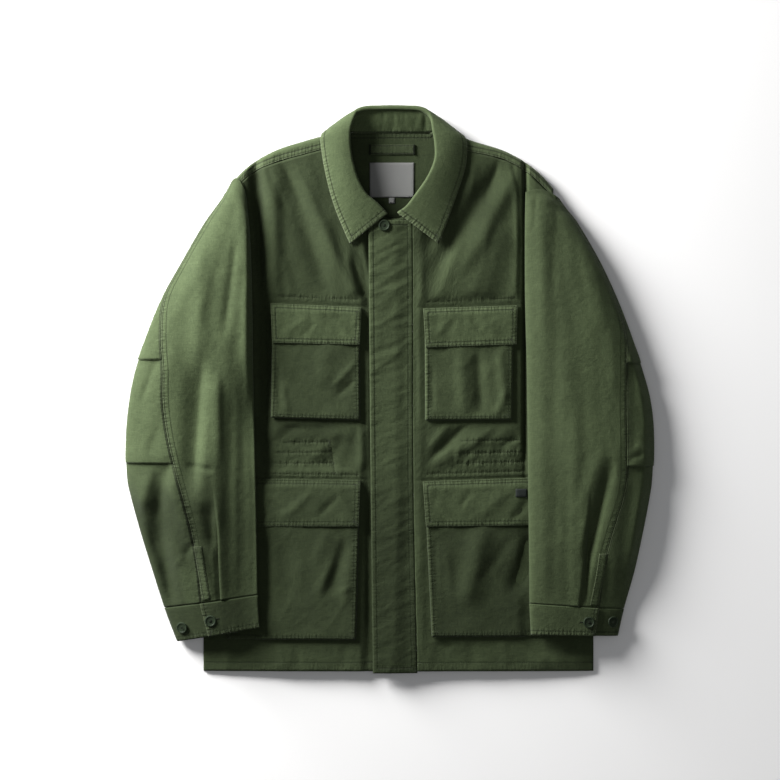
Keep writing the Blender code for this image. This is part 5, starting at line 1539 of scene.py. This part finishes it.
CUFF_TOP_COLUMNS = 41  # of a cuff's grid, which are its upper face
HEM_ROWS = {RIGHT: (-250.0, -34.0), LEFT: (276.0, 44.0)}
cuff_faces = {}
for side in (RIGHT, LEFT):
    word = SIDE_NAMES[side]
    sheet = Sheet(front_grid(side), CLOTH)
    cloth(f"front_{word}", sheet, TWILL, ("top",), (12.0, NO_ROW), 0.35, 0.6,
          rows=beside_rows(side, sheet.points), painted_shading=front_painted_shading(side, sheet.points))
    front = partial(front_surface, side)
    for line in rows_of(side):
        sewing.on(front, [(line.x0, line.y0), (line.x1, line.y1)], HALF + 0.02, sway=0.25)
    sewing.on(front, [(x, HEM_Y + 12.0) for x in HEM_ROWS[side]], HALF + 0.02)
    steps = sleeve_steps(side)
    sheet = Sheet(upper_grid(side, steps), CLOTH, c=0.6)
    cloth(f"sleeve_upper_{word}", sheet, TWILL, ("right",), (1.8, 8.0), 1.3, 0.5,
          soften=0.0, painted_shading=sleeve_painted_shading(side, sheet.points))
    for inset in (1.8, 8.0):
        sleeve_sewing.edge(sheet, "right", inset)
    sheet = Sheet(lower_grid(side, steps), CLOTH, c=0.2)
    cloth(f"sleeve_under_{word}", sheet, TWILL, ("left",), (1.6, NO_ROW), 0.6, 0.5,
          soften=0.0, painted_shading=sleeve_painted_shading(side, sheet.points))
    sheet = Sheet(placket_grid(side), PLACKET_WALL)
    cloth(f"sleeve_placket_{word}", sheet, TWILL, ("left", "right", "top"),
          (1.6, NO_ROW), 0.8, 0.8, painted_shading=sleeve_painted_shading(side, sheet.points))
    for edge in ("left", "right"):
        sleeve_sewing.edge(sheet, edge, 1.7, 1.5, 1)
    sheet = Sheet(cuff_grid(side), TURNED, c=0.2)
    cuff_faces[side] = (sheet.points + sheet.normals * TURNED / 2)[:, :CUFF_TOP_COLUMNS].reshape(-1, 3)
    cloth(f"cuff_{word}", sheet, TWILL, ("left", "bottom"), (5.5, NO_ROW),
          1.2, 0.9, soften=0.2, painted_shading=CUFF_PAINTED_SHADE[side])
    for edge, inset, end in (("top", 1.9, 2), ("bottom", 5.5, 2), ("left", 5.5, 5)):
        sleeve_sewing.edge(sheet, edge, inset, 5, end)

FLY_ROWS = -356.2545, HEM_Y + 10.0  # Y of the rows of stitching across its foot
sheet = Sheet(fly_grid(), TURNED)
# painted shade, deepening towards the hem
cloth("fly", sheet, TWILL, ALL_EDGES, (6.8, NO_ROW), 0.4, 0.15,
      painted_shading=0.50 + 0.50 * ease(-sheet.points[..., 1], 40, 220))
for edge in ("left", "right"):
    sewing.edge(sheet, edge, 6.8, 3, 3)
for y in FLY_ROWS:
    low, high = fly_edges(y)
    sewing.on(fly_top, [(low + 2.0, y), (high - 2.0, y)], TURNED / 2 + 0.03)

sheet = Sheet(stand_grid(), CLOTH)
cloth("collar_stand", sheet, TWILL_STAND_PAINTED_LIGHT, ("left",), (1.8, NO_ROW), 0.8)
sheet = Sheet(leaf_grid(), TURNED, r=0.15, c=0.6)
cloth("collar_leaf", sheet, TWILL, ("right", "top", "bottom"), (6.8, NO_ROW))
for edge, start in (("right", 7), ("top", 14), ("bottom", 14)):
    sewing.edge(sheet, edge, 6.8, start, 7)

for pocket in POCKETS:
    bag_shading, flap_shading = POCKET_PAINTED_SHADE[pocket.name]
    sheet = Sheet(bag_grid(pocket), BAG_WALL)
    cloth(f"{pocket.name}_bag", sheet, TWILL,
          ("left", "right", "bottom"), (5.6, NO_ROW), 1.0, 0.6, painted_shading=bag_shading)
    for edge in ("left", "right", "bottom"):
        pocket_sewing.edge(sheet, edge, 5.6, 3, 3)
    sheet = Sheet(flap_grid(pocket), FLAP_WALL)
    cloth(f"{pocket.name}_flap", sheet, TWILL, ALL_EDGES, (6.2, 1.6), 0.8, 0.42,
          painted_shading=flap_shading)
    for edge in ("left", "right", "bottom", "top"):
        pocket_sewing.edge(sheet, edge, 6.2, 6.2, 6.2, lift=0.02)
    pocket_sewing.edge(sheet, "top", 1.6, 2, 2, lift=0.02)

PATCH_STEP = 1.6


def patch_grid(x0, x1, y0, y1, z, arch=0.0):
    """An even rectangle above the yoke, arched across its middle."""
    x = np.linspace(x0, x1, int((x1 - x0) / PATCH_STEP) + 2)[None, :]
    y = np.linspace(y1, y0, int((y1 - y0) / PATCH_STEP) + 2)[:, None]
    share = (x - x0) / (x1 - x0)
    z = CLOTH + SEAM + z + arch * np.sqrt(np.maximum(np.sin(math.pi * share), 0))
    return grid_at(x, y, z)


sheet = Sheet(patch_grid(-28.2, 35.1, 323.2, 337.0, 0.6, arch=0.5), 1.2)
cloth("hanger_loop", sheet, TWILL_INSIDE, ALL_EDGES, (1.5, NO_ROW), 0.5)
sheet = Sheet(patch_grid(-27.5, 34.1, 264.1, 312.2, 0.5), 1.0)
cloth("neck_label", sheet, LABEL, ALL_EDGES, (1.5, NO_ROW), 0.3)
sheet = Sheet(patch_grid(-0.7, 7.6, 255.8, 263.7, 0.5), 1.0)
cloth("size_tab", sheet, LABEL, ("left", "right", "bottom"), (NO_ROW, NO_ROW), 0.2)

tab_pocket = POCKETS[-1]
x, y = np.meshgrid(np.linspace(173.3, 189.2, 12), np.linspace(-137.2, -148.6, 9))
z = flap_height(tab_pocket, x, y) + FLAP_WALL / 2 + 0.5 + TAB_WALL / 2
sheet = Sheet(grid_at(x, y, z), TAB_WALL)
cloth("flap_tab", sheet, TAPE, ALL_EDGES, (NO_ROW, NO_ROW), 0.2)

sewing.make("topstitching_body", THREAD)
sleeve_sewing.make("topstitching_sleeves", THREAD)
pocket_sewing.make("topstitching_pockets", THREAD)

# ---------------------------------------------------------------------------- buttons
CROSS_TURN = 0.6  # of the stitched cross on each button
# The way each buttonhole runs on from under its button
BUTTONHOLES = {"cuff_button_right_inner": (RIGHT, 0.28), "cuff_button_left_inner": (LEFT, math.pi)}


def heading(turn):
    return np.array([math.cos(turn), math.sin(turn), 0.0])


for name in ("cuff_button_right_outer", "cuff_button_right_inner", "cuff_button_left_inner",
             "cuff_button_left_outer", "neck_button"):
    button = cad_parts[name]
    button.material_slots[0].material = RESIN
    corners = np.array([button.matrix_world @ Vector(corner) for corner in button.bound_box]) / MM
    middle = (corners.min(0) + corners.max(0)) / 2
    if name in BUTTONHOLES:
        side, turn = BUTTONHOLES[name]
        face = cuff_faces[side]
        for n in range(8):
            spot = middle + heading(turn) * (6.0 + 0.9 * n)
            spot[2] = face[np.argmin(((face - spot)[:, :2] ** 2).sum(1)), 2] + 0.12
            dark_sewing.stitch(spot, np.cross(heading(turn), UP), UP, 2.4, 0.8, 0.35)
    middle[2] = corners[:, 2].max() - 0.75
    for turn in (CROSS_TURN, CROSS_TURN + math.pi / 2):
        for shift in (-0.45, 0.45):
            aside = np.cross(heading(turn), UP) * shift
            dark_sewing.stitch(middle + aside, heading(turn), UP, 4.6, 0.7, 0.5)

# Bar tacks at the ends of the hanger loop
for x in (-27.0, 33.9):
    for shift in (-0.5, 0.5):
        bar = np.array([[x + shift, 323.0, 3.6], [x + shift, 337.2, 3.6]])
        dark_sewing.row(bar, np.tile(UP, (2, 1)), 0.0, pitch=1.4, length=1.5, width=1.1, height=0.5)
dark_sewing.make("bar_tacks_and_buttonholes", DARK_THREAD)


# ---------------------------------------------------------------------------- floor, light and camera
bpy.ops.mesh.primitive_plane_add(size=12.0, location=(0, 0, -0.0004))
floor = bpy.context.object
floor.name = "floor"
floor.data.materials.append(floor_paper("pale_floor"))

scene = bpy.context.scene
scene.world = bpy.data.worlds.new("studio")
scene.world.use_nodes = True
sky = scene.world.node_tree.nodes["Background"].inputs
sky["Color"].default_value = (0.95, 0.97, 1.0, 1.0)
sky["Strength"].default_value = 0.14


def lamp(name, location, size, power, colour):
    """A round lamp that shines at the middle of the scene."""
    data = bpy.data.lights.new(name, "AREA")
    data.shape = "DISK"
    data.size = size
    data.energy = power
    data.color = colour
    made = bpy.data.objects.new(name, data)
    scene.collection.objects.link(made)
    made.location = location
    made.rotation_mode = "QUATERNION"
    made.rotation_quaternion = (-Vector(location)).to_track_quat("-Z", "Y")


lamp("key_light", (-1.84, 1.37, 0.76), 1.3, 235.0, (1.0, 0.99, 0.98))
lamp("fill_light", (0.4, -0.4, 3.0), 2.2, 9.0, (1.0, 1.0, 1.0))

CAMERA_LENS = 120.0
CAMERA_SENSOR = 36.0
PHOTO_SPAN = PHOTO_PIXELS * PIXEL * MM  # what the photograph shows, from edge to edge
MIDDLE_Z = 0.012  # the height at which that span fills the picture
camera_data = bpy.data.cameras.new("camera")
camera_data.lens = CAMERA_LENS
camera_data.sensor_width = CAMERA_SENSOR
camera_data.dof.use_dof = False
camera_data.clip_start = 0.1
camera_data.clip_end = 30.0
camera = bpy.data.objects.new("camera", camera_data)
scene.collection.objects.link(camera)
distance = PHOTO_SPAN / CAMERA_SENSOR * CAMERA_LENS
camera.location = (0.5 * PIXEL * MM, -1.0 * PIXEL * MM, MIDDLE_Z + distance)
scene.camera = camera
scene.view_settings.view_transform = "Standard"
scene.view_settings.look = "None"
scene.view_settings.exposure = 0.0
